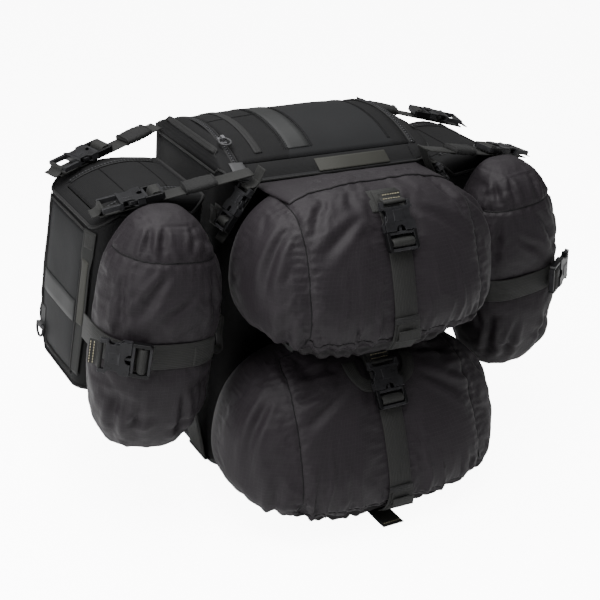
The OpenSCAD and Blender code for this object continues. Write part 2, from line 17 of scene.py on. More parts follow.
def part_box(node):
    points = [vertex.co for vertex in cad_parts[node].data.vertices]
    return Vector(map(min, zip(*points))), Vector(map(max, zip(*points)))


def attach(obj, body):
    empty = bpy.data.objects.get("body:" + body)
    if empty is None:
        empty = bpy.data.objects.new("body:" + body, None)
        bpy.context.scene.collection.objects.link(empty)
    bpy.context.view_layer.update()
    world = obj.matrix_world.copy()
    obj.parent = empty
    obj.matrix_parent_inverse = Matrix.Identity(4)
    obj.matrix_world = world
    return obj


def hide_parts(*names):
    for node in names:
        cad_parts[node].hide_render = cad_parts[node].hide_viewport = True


MM = 0.001
SIDES = (("left", -1), ("right", 1))
ROOT = "luggage"
WIDE_WEB = 38 * MM      # webbing of the pouches and their belts
LINK_WEB = 30 * MM
CORNER_WEB = 24 * MM
TAPE_THICK = 1.8 * MM
SKIN_THICK = 2.2 * MM   # padded cloth of the bags

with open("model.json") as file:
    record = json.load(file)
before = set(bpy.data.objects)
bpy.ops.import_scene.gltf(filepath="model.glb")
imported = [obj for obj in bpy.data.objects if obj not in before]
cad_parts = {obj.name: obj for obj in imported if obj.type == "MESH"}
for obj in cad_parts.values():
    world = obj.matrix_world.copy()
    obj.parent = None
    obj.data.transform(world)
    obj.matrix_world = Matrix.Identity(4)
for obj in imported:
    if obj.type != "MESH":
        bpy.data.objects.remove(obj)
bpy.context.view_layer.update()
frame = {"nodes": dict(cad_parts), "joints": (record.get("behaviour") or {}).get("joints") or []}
joints = {j["name"]: j for j in frame["joints"]}


# ---------------------------------------------------------------- camera, light and floor
CAMERA_GLOW = 9.0       # what makes floor and background white to the camera
WORLD_LIGHT = 0.24
FLOOR_LIGHT = 0.25
FLOOR_SIZE = 160        # wide enough to hide the horizon in low views


def make_camera():
    """The camera stands in front and above, to the bag's right, tilted a little clockwise."""
    turn, rise, roll = math.radians(-31.3), math.radians(25.7), math.radians(4.0)
    distance, aside = 1.9548, -0.0291
    target = Vector((0, -0.117, 0.263))
    right = Vector((math.cos(turn), math.sin(turn), 0))
    back = Vector((math.sin(turn) * math.cos(rise), -math.cos(turn) * math.cos(rise), math.sin(rise)))
    up = back.cross(right)
    x = right * math.cos(roll) + up * math.sin(roll)
    y = up * math.cos(roll) - right * math.sin(roll)
    data = bpy.data.cameras.new("camera")
    data.lens, data.sensor_width = 73.43, 36.0
    data.clip_end = 50.0
    camera = bpy.data.objects.new("camera", data)
    turned = Matrix((x, y, back)).transposed().to_4x4()
    camera.matrix_world = Matrix.Translation(target + back * distance + x * aside) @ turned
    bpy.context.scene.collection.objects.link(camera)
    bpy.context.scene.camera = camera


def area_light(name, place, aim, size, power):
    data = bpy.data.lights.new(name, "AREA")
    data.shape = "RECTANGLE"
    data.size, data.size_y = size
    data.energy = power
    light = bpy.data.objects.new(name, data)
    light.location = place
    light.rotation_euler = (Vector(aim) - Vector(place)).to_track_quat("-Z", "Y").to_euler()
    bpy.context.scene.collection.objects.link(light)


def glow(tree, strength, socket):
    """Light of that strength, and white to the camera wherever it looks straight at it."""
    rays = tree.nodes.new("ShaderNodeLightPath")
    total = tree.nodes.new("ShaderNodeMath")
    total.operation = "MULTIPLY_ADD"
    total.inputs[1].default_value = CAMERA_GLOW
    total.inputs[2].default_value = strength
    tree.links.new(rays.outputs["Is Camera Ray"], total.inputs[0])
    tree.links.new(total.outputs[0], socket)


def make_studio():
    world = bpy.data.worlds.new("studio")
    world.use_nodes = True
    background = world.node_tree.nodes["Background"]
    background.inputs[0].default_value = (1, 1, 1, 1)
    glow(world.node_tree, WORLD_LIGHT, background.inputs[1])
    bpy.context.scene.world = world
    area_light("top_box", (-0.5, -0.3, 2.2), (0, 0, 0.3), (2.0, 1.4), 105)
    area_light("left_box", (-2.3, -0.9, 1.3), (-0.2, 0, 0.3), (1.0, 1.6), 52)
    area_light("rear_strip", (0.5, 1.3, 2.5), (0, 0, 0.4), (1.8, 0.7), 30)
    bpy.ops.mesh.primitive_plane_add(size=FLOOR_SIZE, location=(0, 0, -0.0005))
    floor = bpy.context.active_object
    floor.name = "floor"
    paint = plain_material("floor_paint", (0.92, 0.92, 0.92), 0.8)
    shader = paint.node_tree.nodes["Principled BSDF"]
    shader.inputs["Emission Color"].default_value = (1, 1, 1, 1)
    glow(paint.node_tree, FLOOR_LIGHT, shader.inputs["Emission Strength"])
    floor.data.materials.append(paint)


# ---------------------------------------------------------------- materials
class Nodes:
    """A short hand for a material's node tree."""

    def __init__(self, name):
        self.material = bpy.data.materials.new(name)
        self.material.use_nodes = True
        self.tree = self.material.node_tree
        self.shader = self.tree.nodes["Principled BSDF"]

    def add(self, kind, **values):
        node = self.tree.nodes.new(kind)
        for key, value in values.items():
            if key in node.inputs:
                self.plug(value, node.inputs[key])
            else:
                setattr(node, key, value)
        return node

    def plug(self, value, socket):
        if isinstance(value, bpy.types.NodeSocket):
            self.tree.links.new(value, socket)
        else:
            socket.default_value = value

    def math(self, operation, a, b=0.0, c=0.0):
        node = self.tree.nodes.new("ShaderNodeMath")
        node.operation = operation
        for i, value in enumerate((a, b, c)):
            self.plug(value, node.inputs[i])
        return node.outputs[0]

    def mix(self, factor, a, b):
        node = self.tree.nodes.new("ShaderNodeMix")
        node.data_type = "RGBA"
        self.plug(factor, node.inputs[0])
        self.plug(a, node.inputs[6])
        self.plug(b, node.inputs[7])
        return node.outputs[2]

    def lines(self, coordinate, period, share):
        """1 on a line of share x period wide, once each period along the coordinate."""
        wave = self.math("FRACT", self.math("DIVIDE", coordinate, period))
        edge = self.math("ABSOLUTE", self.math("SUBTRACT", wave, 0.5))
        return self.math("LESS_THAN", edge, share / 2)

    def wave(self, coordinate, period):
        """A smooth 0 to 1 wave along the coordinate."""
        angle = self.math("MULTIPLY", coordinate, 2 * math.pi / period)
        return self.math("MULTIPLY_ADD", self.math("SINE", angle), 0.5, 0.5)

    def noise(self, size, detail=3.0):
        node = self.add("ShaderNodeTexNoise", Scale=1 / size, Detail=detail, Vector=self.place())
        return node.outputs["Fac"]

    def cells(self, size):
        return self.add("ShaderNodeTexVoronoi", Scale=1 / size, Vector=self.place()).outputs["Distance"]

    def over(self, tone, mask, share, top):
        """The tone with a share of the top colour where the mask is 1."""
        return self.mix(self.math("MULTIPLY", mask, share), tone, top)

    def place(self):
        return self.add("ShaderNodeTexCoord").outputs["Object"]

    def weave(self):
        """Distances along and across the cloth, kept on the mesh by lay_weave."""
        node = self.add("ShaderNodeAttribute", attribute_name="weave")
        parts = self.add("ShaderNodeSeparateXYZ", Vector=node.outputs["Vector"])
        return parts.outputs[0], parts.outputs[1]

    def bump(self, height, distance, strength=1.0, below=None):
        node = self.add("ShaderNodeBump", Height=height, Distance=distance, Strength=strength)
        if below is not None:
            self.plug(below, node.inputs["Normal"])
        return node.outputs["Normal"]

    def finish(self, color, roughness, normal=None, sheen=0.0, sheen_roughness=0.5, specular=0.5):
        self.plug(color, self.shader.inputs["Base Color"])
        self.plug(roughness, self.shader.inputs["Roughness"])
        self.shader.inputs["Sheen Weight"].default_value = sheen
        self.shader.inputs["Sheen Roughness"].default_value = sheen_roughness
        self.shader.inputs["Specular IOR Level"].default_value = specular
        if normal is not None:
            self.plug(normal, self.shader.inputs["Normal"])
        return self.material


def shade(color, factor):
    return tuple(c * factor for c in color) + (1.0,)


def plain_material(name, color, roughness):
    nodes = Nodes(name)
    tone = nodes.mix(nodes.noise(0.4), shade(color, 0.985), shade(color, 1.0))
    return nodes.finish(tone, roughness)


def ripstop_material(name, color):
    """Light nylon with a fine grid of thicker threads, soft sheen and faint warm patches."""
    nodes = Nodes(name)
    along, across = nodes.weave()
    grid = nodes.math("MAXIMUM", *(nodes.lines(axis, 5.5 * MM, 0.14) for axis in (along, across)))
    threads = nodes.math("ADD", nodes.wave(along, 1.3 * MM), nodes.wave(across, 1.5 * MM))
    patches = nodes.noise(70 * MM, 4)
    warm = tuple(c * f for c, f in zip(color, (1.22, 1.12, 1.16))) + (1.0,)
    tone = nodes.mix(patches, shade(color, 0.78), warm)
    slub = nodes.noise(2.2 * MM, 2)
    tone = nodes.over(tone, slub, 0.35, shade(color, 1.6))
    tone = nodes.over(tone, grid, 0.22, shade(color, 1.9))
    rough = nodes.math("MULTIPLY_ADD", patches, 0.16, 0.5)
    height = nodes.math("ADD", nodes.math("MULTIPLY", threads, 0.25), nodes.math("MULTIPLY", grid, 0.6))
    weave = nodes.bump(height, 0.16 * MM, 0.9)
    crumple = nodes.bump(nodes.noise(16 * MM, 5), 0.9 * MM, 0.5, weave)
    return nodes.finish(tone, rough, crumple, sheen=0.014, sheen_roughness=0.4, specular=0.16)


def nylon_material(name, color):
    """Heavy basket-woven nylon: a coarse matt weave with pale flecks."""
    nodes = Nodes(name)
    along, across = nodes.weave()
    thread = 1.7 * MM
    basket = nodes.math("MULTIPLY", nodes.wave(along, thread), nodes.wave(across, thread))
    patches = nodes.noise(55 * MM, 4)
    flecks = nodes.noise(1.6 * MM, 2)
    tone = nodes.mix(patches, shade(color, 0.72), shade(color, 1.25))
    tone = nodes.over(tone, flecks, 0.45, shade(color, 1.9))
    normal = nodes.bump(basket, 0.35 * MM, 0.9)
    normal = nodes.bump(nodes.noise(22 * MM, 4), 1.1 * MM, 0.45, normal)
    rough = nodes.math("MULTIPLY_ADD", flecks, 0.2, 0.6)
    return nodes.finish(tone, rough, normal, sheen=0.008, specular=0.08)


def coated_material(name, color, gloss=0.54):
    """Smooth coated cloth: a fine leathery grain and a soft gloss."""
    nodes = Nodes(name)
    patches = nodes.noise(90 * MM, 4)
    tone = nodes.mix(patches, shade(color, 0.86), shade(color, 1.14))
    scuffs = nodes.math("GREATER_THAN", nodes.noise(7 * MM, 6), 0.66)
    tone = nodes.over(tone, scuffs, 0.18, shade(color, 1.7))
    normal = nodes.bump(nodes.cells(1.5 * MM), 0.12 * MM, 0.7)
    normal = nodes.bump(nodes.noise(35 * MM, 3), 1.2 * MM, 0.4, normal)
    rough = nodes.math("MULTIPLY_ADD", patches, 0.14, gloss)
    return nodes.finish(tone, rough, normal, sheen=0.008, specular=0.07)


def webbing_material(name, color):
    """Woven tape: ribs along its length and chevrons across them."""
    nodes = Nodes(name)
    along, across = nodes.weave()
    rib = nodes.wave(across, 2.6 * MM)
    skewed = nodes.math("ADD", along, nodes.math("MULTIPLY", nodes.math("PINGPONG", across, 2.6 * MM), 0.8))
    pick = nodes.wave(skewed, 1.6 * MM)
    relief = nodes.math("ADD", nodes.math("MULTIPLY", rib, 0.7), nodes.math("MULTIPLY", pick, 0.5))
    fuzz = nodes.noise(1.1 * MM, 2)
    tone = nodes.mix(nodes.math("MULTIPLY", relief, 0.8), shade(color, 0.55), shade(color, 1.2))
    tone = nodes.over(tone, fuzz, 0.3, shade(color, 2.0))
    normal = nodes.bump(relief, 0.35 * MM, 0.9)
    return nodes.finish(tone, nodes.math("MULTIPLY_ADD", fuzz, 0.2, 0.55), normal, sheen=0.02, specular=0.18)


def reflective_material(name, color):
    """Grey glass-bead tape with a faint honeycomb and scuffed patches."""
    nodes = Nodes(name)
    beads = nodes.cells(1.8 * MM)
    patches = nodes.noise(28 * MM, 5)
    tone = nodes.mix(patches, shade(color, 0.8), shade(color, 1.12))
    tone = nodes.over(tone, beads, 0.35, shade(color, 0.75))
    normal = nodes.bump(beads, 0.08 * MM, 0.6)
    return nodes.finish(tone, nodes.math("MULTIPLY_ADD", patches, 0.15, 0.42), normal, specular=0.12)


def plastic_material(name, color, gloss=0.3):
    """Moulded buckle plastic: fine spark-eroded grain, edges lighter as wear and as a painted highlight."""
    nodes = Nodes(name)
    edge = nodes.add("ShaderNodeNewGeometry").outputs["Pointiness"]
    # sharp edges painted up to eleven times the body colour: partly rubbed wear, partly a painted highlight
    # on the rims
    edge_wear_and_highlight = nodes.add("ShaderNodeMapRange", Value=edge)
    for socket, value in zip(("From Min", "From Max", "To Min", "To Max"), (0.5, 0.58, 0.0, 1.0)):
        edge_wear_and_highlight.inputs[socket].default_value = value
    grain = nodes.noise(0.7 * MM, 3)
    smears = nodes.noise(9 * MM, 4)
    wear_and_highlight = nodes.math("MULTIPLY", edge_wear_and_highlight.outputs[0], nodes.math("MULTIPLY_ADD", smears, 0.5, 0.2))
    tone = nodes.mix(wear_and_highlight, nodes.mix(grain, shade(color, 0.8), shade(color, 1.2)), shade(color, 11.0))
    rough = nodes.math("MULTIPLY_ADD", smears, 0.2, gloss - 0.08)
    return nodes.finish(tone, rough, nodes.bump(grain, 0.05 * MM, 0.5), specular=0.12)


def thread_material(name, color):
    nodes = Nodes(name)
    twist = nodes.noise(0.6 * MM, 2)
    tone = nodes.mix(twist, shade(color, 0.6), shade(color, 1.3))
    return nodes.finish(tone, 0.6, nodes.bump(twist, 0.2 * MM, 0.8), specular=0.1)


def rubber_material(name, color):
    nodes = Nodes(name)
    grain = nodes.noise(1.0 * MM, 4)
    dust = nodes.noise(30 * MM, 4)
    tone = nodes.mix(dust, shade(color, 0.8), shade(color, 1.5))
    return nodes.finish(tone, nodes.math("MULTIPLY_ADD", dust, 0.2, 0.6), nodes.bump(grain, 0.15 * MM, 0.8))


def mesh_material(name, color):
    """Air mesh of a liner or a grip: small round holes in staggered rows."""
    nodes = Nodes(name)
    cells = nodes.cells(2.6 * MM)
    holes = nodes.math("LESS_THAN", cells, 0.28)
    tone = nodes.mix(holes, shade(color, 1.0), shade(color, 0.35))
    normal = nodes.bump(cells, 0.5 * MM, 0.9)
    return nodes.finish(tone, 0.75, normal, sheen=0.02, specular=0.15)


def make_materials():
    return {
        "ripstop": ripstop_material("ripstop", (0.0084, 0.0070, 0.0084)),
        "ripstop_dark": ripstop_material("ripstop_dark", (0.0065, 0.0058, 0.0064)),
        "nylon": nylon_material("nylon", (0.0055, 0.0055, 0.0057)),
        "coated": coated_material("coated", (0.0092, 0.0094, 0.0099)),
        "inset": coated_material("inset", (0.024, 0.024, 0.021), 0.45),
        "band": coated_material("band", (0.0145, 0.0148, 0.0144), 0.52),
        "webbing": webbing_material("webbing", (0.0092, 0.0093, 0.0087)),
        "binding": webbing_material("binding", (0.006, 0.006, 0.006)),
        "reflective": reflective_material("reflective", (0.0165, 0.017, 0.017)),
        "buckle": plastic_material("buckle", (0.0036, 0.0036, 0.0039), 0.28),
        "wire": plastic_material("wire", (0.012, 0.012, 0.0125), 0.42),
        "zip": plastic_material("zip", (0.006, 0.006, 0.0065), 0.4),
        "tape": webbing_material("tape", (0.006, 0.006, 0.0062)),
        "puller": rubber_material("puller", (0.012, 0.012, 0.013)),
        "rubber": rubber_material("rubber", (0.009, 0.009, 0.0095)),
        "liner": coated_material("liner", (0.16, 0.17, 0.17), 0.4),
        "board": rubber_material("board", (0.05, 0.05, 0.052)),
        "grip": mesh_material("grip", (0.008, 0.008, 0.008)),
        "thread": thread_material("thread", (0.004, 0.004, 0.0042)),
        "tan_thread": thread_material("tan_thread", (0.42, 0.38, 0.26)),
    }


# ---------------------------------------------------------------- small mesh tools
def mesh_piece(name, points, faces, material):
    mesh = bpy.data.meshes.new(name)
    mesh.from_pydata([tuple(p) for p in points], [], faces)
    mesh.materials.append(materials[material])
    mesh.validate()
    mesh.polygons.foreach_set("use_smooth", [True] * len(mesh.polygons))
    piece = bpy.data.objects.new(name, mesh)
    bpy.context.scene.collection.objects.link(piece)
    return piece


def vectors_of(mesh, kind):
    values = np.empty(len(mesh.vertices) * 3)
    mesh.vertices.foreach_get(kind, values)
    return values.reshape(-1, 3)


def points_of(piece):
    return vectors_of(piece.data, "co")


def normals_of(piece):
    return vectors_of(piece.data, "normal")


def set_points(piece, points):
    piece.data.vertices.foreach_set("co", np.asarray(points, float).ravel())
    piece.data.update()


def push(piece, distance):
    """Moves each point of the skin out by its own distance."""
    set_points(piece, points_of(piece) + normals_of(piece) * distance[:, None])


def keep_weave(piece, weave):
    """Keeps the distances along and across the cloth, one pair or triple a vertex."""
    layer = piece.data.attributes.new("weave", "FLOAT_VECTOR", "POINT")
    flat = np.zeros((len(piece.data.vertices), 3))
    weave = np.asarray(weave, float)
    flat[:, :weave.shape[1]] = weave
    layer.data.foreach_set("vector", flat.ravel())
    return piece


def add_modifier(piece, kind, **values):
    modifier = piece.modifiers.new(kind.lower(), kind)
    for key, value in values.items():
        setattr(modifier, key, value)
    return modifier


def settle(piece):
    """Turns the piece's modifiers into plain mesh."""
    depsgraph = bpy.context.evaluated_depsgraph_get()
    done = bpy.data.meshes.new_from_object(piece.evaluated_get(depsgraph))
    piece.modifiers.clear()
    old = piece.data
    piece.data = done
    bpy.data.meshes.remove(old)
    return piece


def bevel(piece, width, segments=2, angle=32):
    add_modifier(piece, "BEVEL", width=width, segments=segments, limit_method="ANGLE",
                 angle_limit=math.radians(angle))
    add_modifier(piece, "WEIGHTED_NORMAL", keep_sharp=True)
    return piece


def soft_noise(points, size, seed=0.0):
    """Smooth noise from -1 to 1 at each point; size is the length of its swells."""
    return np.array([noise.noise(Vector(p) / size + Vector((seed, seed * 1.7, -seed))) for p in points])


def smooth_step(low, high, value):
    t = np.clip((value - low) / (high - low), 0, 1)
    return t * t * (3 - 2 * t)


def spow(value, power):
    return np.sign(value) * np.abs(value) ** power


def grid_faces(rows, columns, closed=False, first=0):
    """Quads between rows of a grid of points; closed joins the last column to the first."""
    span = columns if closed else columns - 1
    return [
        (first + r * columns + c, first + r * columns + (c + 1) % columns,
         first + (r + 1) * columns + (c + 1) % columns, first + (r + 1) * columns + c)
        for r in range(rows - 1) for c in range(span)
    ]


def tube_faces(count, size, closed=False, first=0):
    """The skin of a swept section: joined to itself when closed, or capped at both ends."""
    faces = grid_faces(count, size, closed=True, first=first)
    last = first + (count - 1) * size
    if closed:
        return faces + [(last + c, last + (c + 1) % size, first + (c + 1) % size, first + c)
                        for c in range(size)]
    return faces + [tuple(range(first, first + size))[::-1], tuple(range(last, last + size))]


def resample(path, step):
    """Points every step along a path."""
    path = [Vector(p) for p in path]
    lengths = [0.0]
    for a, b in zip(path, path[1:]):
        lengths.append(lengths[-1] + (b - a).length)
    count = max(2, round(lengths[-1] / step) + 1)
    out = []
    i = 0
    for k in range(count):
        d = lengths[-1] * k / (count - 1)
        while i < len(path) - 2 and lengths[i + 1] < d:
            i += 1
        span = max(lengths[i + 1] - lengths[i], 1e-9)
        out.append(path[i].lerp(path[i + 1], (d - lengths[i]) / span))
    return out


def curve_through(path, steps=8):
    """A smooth Catmull-Rom curve through the points."""
    p = [Vector(q) for q in path]
    p = [2 * p[0] - p[1]] + p + [2 * p[-1] - p[-2]]
    out = []
    for i in range(1, len(p) - 2):
        for k in range(steps):
            t = k / steps
            a, b, c, d = p[i - 1], p[i], p[i + 1], p[i + 2]
            out.append(0.5 * (2 * b + (c - a) * t + (2 * a - 5 * b + 4 * c - d) * t * t
                              + (3 * b - a - 3 * c + d) * t ** 3))
    out.append(p[-2])
    return out


def shifted(path, x, y, z):
    return [p + Vector((x, y, z)) for p in path]


def tangents(path, closed=False):
    last = len(path) - 1
    if closed:
        return [(path[(i + 1) % len(path)] - path[i - 1]).normalized() for i in range(len(path))]
    return [(path[min(i + 1, last)] - path[max(i - 1, 0)]).normalized() for i in range(len(path))]


def tape(name, path, across, width, thick, material):
    """Woven tape: a flat band along the path, which is the middle of its underside.

    across is the direction of its width, one vector or one a point. Its outer face is on the
    side of along x across.
    """
    path = [Vector(p) for p in path]
    across = [Vector(a) for a in across] if isinstance(across, list) else [Vector(across)] * len(path)
    e = min(thick * 0.5, width * 0.1)
    half = [(-0.5 * width, 0.5 * thick), (-0.5 * width + e, thick), (-0.25 * width, thick * 1.04)]
    section = half + [(0, thick * 1.06)] + [(-x, z) for x, z in half[::-1]]
    section += [(0.5 * width - e, 0), (0, 0), (-0.5 * width + e, 0)]
    points, weave = [], []
    run = 0.0
    for i, (p, ahead) in enumerate(zip(path, tangents(path))):
        side = (across[i] - ahead * across[i].dot(ahead)).normalized()
        out = ahead.cross(side).normalized()
        run += (p - path[i - 1]).length if i else 0
        for x, z in section:
            points.append(p + side * x + out * z)
            weave.append((run, x + (0.002 if z < 0.3 * thick else 0), 0))
    faces = [f[::-1] for f in tube_faces(len(path), len(section))]
    return keep_weave(mesh_piece(name, points, faces, material), weave)


def cord_tube(name, path, radius, material, sides=8, closed=False):
    """A round cord, thread or wire along a path."""
    path = [Vector(p) for p in path]
    headings = tangents(path, closed)
    side = headings[0].orthogonal().normalized()
    points, weave = [], []
    run = 0.0
    for i, (p, ahead) in enumerate(zip(path, headings)):
        side = (side - ahead * side.dot(ahead)).normalized()
        up = ahead.cross(side)
        run += (p - path[i - 1]).length if i else 0
        for k in range(sides):
            a = 2 * math.pi * k / sides
            points.append(p + (side * math.cos(a) + up * math.sin(a)) * radius)
            weave.append((run, radius * a, 0))
    return keep_weave(mesh_piece(name, points, tube_faces(len(path), sides, closed), material), weave)


def stitch_row(name, path, out, material="tan_thread", length=3.0 * MM, pitch=4.4 * MM, radius=0.38 * MM):
    """A row of separate stitches that lie on a surface; out is its outward direction."""
    out = Vector(out).normalized()
    spots = resample(path, pitch)
    points, faces = [], []
    for a, b in zip(spots, spots[1:]):
        ahead = (b - a).normalized()
        side = ahead.cross(out).normalized()
        start, first = a + ahead * (pitch - length) / 2, len(points)
        for step, swell in ((0, 0.35), (0.25, 1), (0.75, 1), (1, 0.35)):
            middle = start + ahead * length * step + out * radius * 0.5
            for k in range(6):
                t = 2 * math.pi * k / 6
                points.append(middle + (side * math.cos(t) + out * math.sin(t)) * radius * swell)
        faces += tube_faces(4, 6, first=first)
    return mesh_piece(name, points, faces, material)


class Surface:
    """A finished piece, asked where its skin is."""

    def __init__(self, *pieces):
        points, faces = [], []
        for piece in pieces:
            first = len(points)
            points += [v.co.copy() for v in piece.data.vertices]
            faces += [tuple(first + i for i in p.vertices) for p in piece.data.polygons]
        self.tree = BVHTree.FromPolygons(points, faces)

    def nearest(self, point):
        place, normal, _, _ = self.tree.find_nearest(Vector(point))
        return place, normal

    def lay(self, path, lift, step=4 * MM):
        """The path brought down onto the skin and raised by lift, with the skin's normals."""
        places, normals = [], []
        for p in resample(path, step):
            place, normal = self.nearest(p)
            places.append(place + normal * lift)
            normals.append(normal)
        return places, normals

    def tape_on(self, name, path, width, thick, material, lift=0.3 * MM, step=4 * MM):
        """Tape that lies on the skin along the path."""
        places, normals = self.lay(path, lift, step)
        normals = [sum(normals[max(0, i - 2):i + 3], Vector()).normalized() for i in range(len(normals))]
        across = [n.cross(t) for n, t in zip(normals, tangents(places))]
        return tape(name, places, across, width, thick, material)


def ride_all(pieces, body=ROOT):
    for piece in pieces:
        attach(piece, body)


# ---------------------------------------------------------------- the tilted frame of a pannier
lid_pivot = Vector(joints["right_lid_hinge"]["pos_m"])
belt_axis = Vector(joints["right_belt_buckle_release"]["axis"])
splay = math.atan2(-belt_axis.z, -belt_axis.x)
HANG = Matrix.Translation(lid_pivot) @ Matrix.Rotation(-splay, 4, "Y") @ Matrix.Translation(-lid_pivot)
MIRROR = Matrix.Diagonal((-1, 1, 1, 1))


def hung_box(node):
    """A right-hand node's lowest and highest corners in the pannier's own upright frame."""
    points = points_of(frame["nodes"][node])
    back = np.array(HANG.inverted())
    points = points @ back[:3, :3].T + back[:3, 3]
    return Vector(points.min(0)), Vector(points.max(0))


def to_side(piece, sign):
    """Puts a piece made in the right-hand pannier's upright frame in its place, on either side."""
    piece.data.transform(MIRROR @ HANG if sign < 0 else HANG)
    if sign < 0:
        piece.data.flip_normals()
    return piece


# ---------------------------------------------------------------- roll pouches
ROUND_UP = 0.74         # below 1, a pouch is squarer in height than an ellipsoid
VOXEL = 5.5 * MM
ZIP_ASIDE = 6 * MM      # from a lid window's edge to its zip's teeth


class Pouch:
    """The skin that a pouch, its straps and its buckle share: a stuffed, slightly square form."""

    def __init__(self, centre, half_width, front, half_height, behind, taper, swell, square):
        self.centre = Vector(centre)
        self.half_width, self.front, self.half_height, self.behind = half_width, front, half_height, behind
        self.taper, self.swell, self.square = taper, swell, square

    def point(self, turn, lift):
        """turn goes round the upright axis from +X, lift goes up it, both in degrees."""
        turn, lift = math.radians(turn), math.radians(lift)
        flat, rise = spow(math.cos(lift), ROUND_UP), spow(math.sin(lift), ROUND_UP)
        y = spow(math.sin(turn), self.square) * flat
        y = self.front * y * (1 - self.swell * rise) if y < 0 else self.behind * y
        x = self.half_width * (1 - self.taper * rise) * flat * spow(math.cos(turn), self.square)
        return self.centre + Vector((x, y, self.half_height * rise))

    def skin(self, name, turns=72, lifts=36):
        points = [self.point(0, -90)]
        for j in range(1, lifts + 1):
            lift = -90 + 180 * j / (lifts + 1)
            points += [self.point(360 * i / turns, lift) for i in range(turns)]
        points.append(self.point(0, 90))
        top = len(points) - 1
        faces = [(0, 1 + (i + 1) % turns, 1 + i) for i in range(turns)]
        faces += grid_faces(lifts, turns, closed=True, first=1)
        last = 1 + (lifts - 1) * turns
        faces += [(top, last + i, last + (i + 1) % turns) for i in range(turns)]
        return mesh_piece(name, points, faces, "ripstop")


def remesh(piece):
    add_modifier(piece, "REMESH", mode="VOXEL", voxel_size=VOXEL, use_smooth_shade=True)
    settle(piece)
    add_modifier(piece, "SMOOTH", factor=0.5, iterations=3)
    return settle(piece)


def inflate(piece, held, pressure=4.0, frames=16, cap=12 * MM, grow=0.03, bend=0.3):
    """Cloth under a little pressure, held where a strap or a seam holds the real one."""
    start = points_of(piece)
    group = piece.vertex_groups.new(name="held")
    for i, weight in enumerate(held):
        if weight > 0.01:
            group.add([i], float(min(weight, 1)), "REPLACE")
    cloth = piece.modifiers.new("cloth", "CLOTH")
    rules = cloth.settings
    rules.quality = 4
    rules.mass = 0.15
    rules.tension_stiffness = rules.compression_stiffness = 18
    rules.shear_stiffness = 8
    rules.bending_stiffness = bend
    rules.air_damping = 2
    rules.use_pressure = True
    rules.uniform_pressure_force = pressure
    rules.shrink_min = -grow
    rules.vertex_group_mass = "held"
    rules.effector_weights.gravity = 0
    cloth.collision_settings.use_collision = False
    cloth.point_cache.frame_end = frames
    scene = bpy.context.scene
    for number in range(1, frames + 1):
        scene.frame_set(number)
    depsgraph = bpy.context.evaluated_depsgraph_get()
    end = vectors_of(piece.evaluated_get(depsgraph).data, "co")
    piece.modifiers.clear()
    piece.vertex_groups.clear()
    scene.frame_set(1)
    shift = end - start
    size = np.linalg.norm(shift, axis=1, keepdims=True)
    set_points(piece, start + shift * np.tanh(size / cap) * cap / np.maximum(size, 1e-9))
    return piece


def refine(piece):
    add_modifier(piece, "SUBSURF", levels=1, render_levels=1)
    return settle(piece)


def near_path(points, path):
    """How far each point is from a path, and how far along the path its nearest point is."""
    path = np.array([tuple(p) for p in path])
    best = np.full(len(points), 9.0)
    along = np.zeros(len(points))
    run = 0.0
    for a, b in zip(path, path[1:]):
        span = b - a
        length = np.linalg.norm(span)
        if length < 1e-9:
            continue
        t = np.clip((points - a) @ span / length ** 2, 0, 1)
        gap = np.linalg.norm(points - a - t[:, None] * span, axis=1)
        closer = gap < best
        best[closer] = gap[closer]
        along[closer] = run + t[closer] * length
        run += length
    return best, along


def sew(piece, path, depth=2.2 * MM, width=5 * MM, pucker=0.9 * MM, pitch=13 * MM, seed=0.0):
    """Pulls the cloth in along a seam, with small puckers that run off it on both sides."""
    points = points_of(piece)
    gap, along = near_path(points, path)
    close = gap < 9 * width
    drop = np.zeros(len(points))
    drop[close] = -depth * np.exp(-(gap[close] / width) ** 2)
    wander = soft_noise(points[close], 30 * MM, seed)
    ripple = pucker * np.sin(2 * math.pi * along[close] / pitch + 3 * wander)
    near = gap[close] / width
    drop[close] += ripple * np.exp(-gap[close] / (2.6 * width)) * smooth_step(0.3, 1.2, near)
    push(piece, drop)


def gather(piece, path, reach, depth, pitch, seed, side):
    """Folds that fan out of a drawn-in hem or edge and die away over the reach."""
    points = points_of(piece)
    gap, along = near_path(points, path)
    wander = soft_noise(points, 0.05, seed)
    mask = np.clip(0.55 + 0.75 * soft_noise(points, 0.09, seed + 5), 0, 1.2)
    fold = 1 - np.abs(np.sin(math.pi * along / pitch + 2.2 * wander))
    fold = fold ** 1.5 - 0.35
    fade = np.exp(-(gap / reach) ** 1.3) * smooth_step(0, 0.012, gap + 0.006) * side(points)
    push(piece, depth * fold * fade * mask)


def crease(piece, pouch, marks):
    """Long soft folds, each a dip with a raised lip, along lines drawn on a pouch's skin.

    A mark is the turn and lift of its two ends, its depth and its width in millimetres.
    """
    surface = Surface(piece)
    points = points_of(piece)
    move = np.zeros(len(points))
    for turn_a, lift_a, turn_b, lift_b, depth, width in marks:
        spots = [pouch.point(turn_a + (turn_b - turn_a) * t, lift_a + (lift_b - lift_a) * t)
                 for t in np.linspace(0, 1, 8)]
        path = [surface.nearest(spot)[0] for spot in spots]
        gap, along = near_path(points, path)
        share = along / max(along.max(), 1e-6)
        fade = np.sin(math.pi * np.clip(share, 0.01, 0.99)) ** 0.7
        wide = width * MM * (0.7 + 0.5 * share)
        dip = np.exp(-(gap / wide) ** 2) - 0.6 * np.exp(-((gap - 2.0 * wide) / wide) ** 2)
        move -= 0.9 * depth * MM * fade * dip
    push(piece, move)


def lay_weave(piece, centre, radius):
    """Cloth lengths round the upright axis and up it; the join is at the back, out of sight."""
    points = points_of(piece) - np.array(centre)
    turn = np.arctan2(points[:, 0], -points[:, 1])
    keep_weave(piece, np.stack([turn * radius, points[:, 2]], 1))


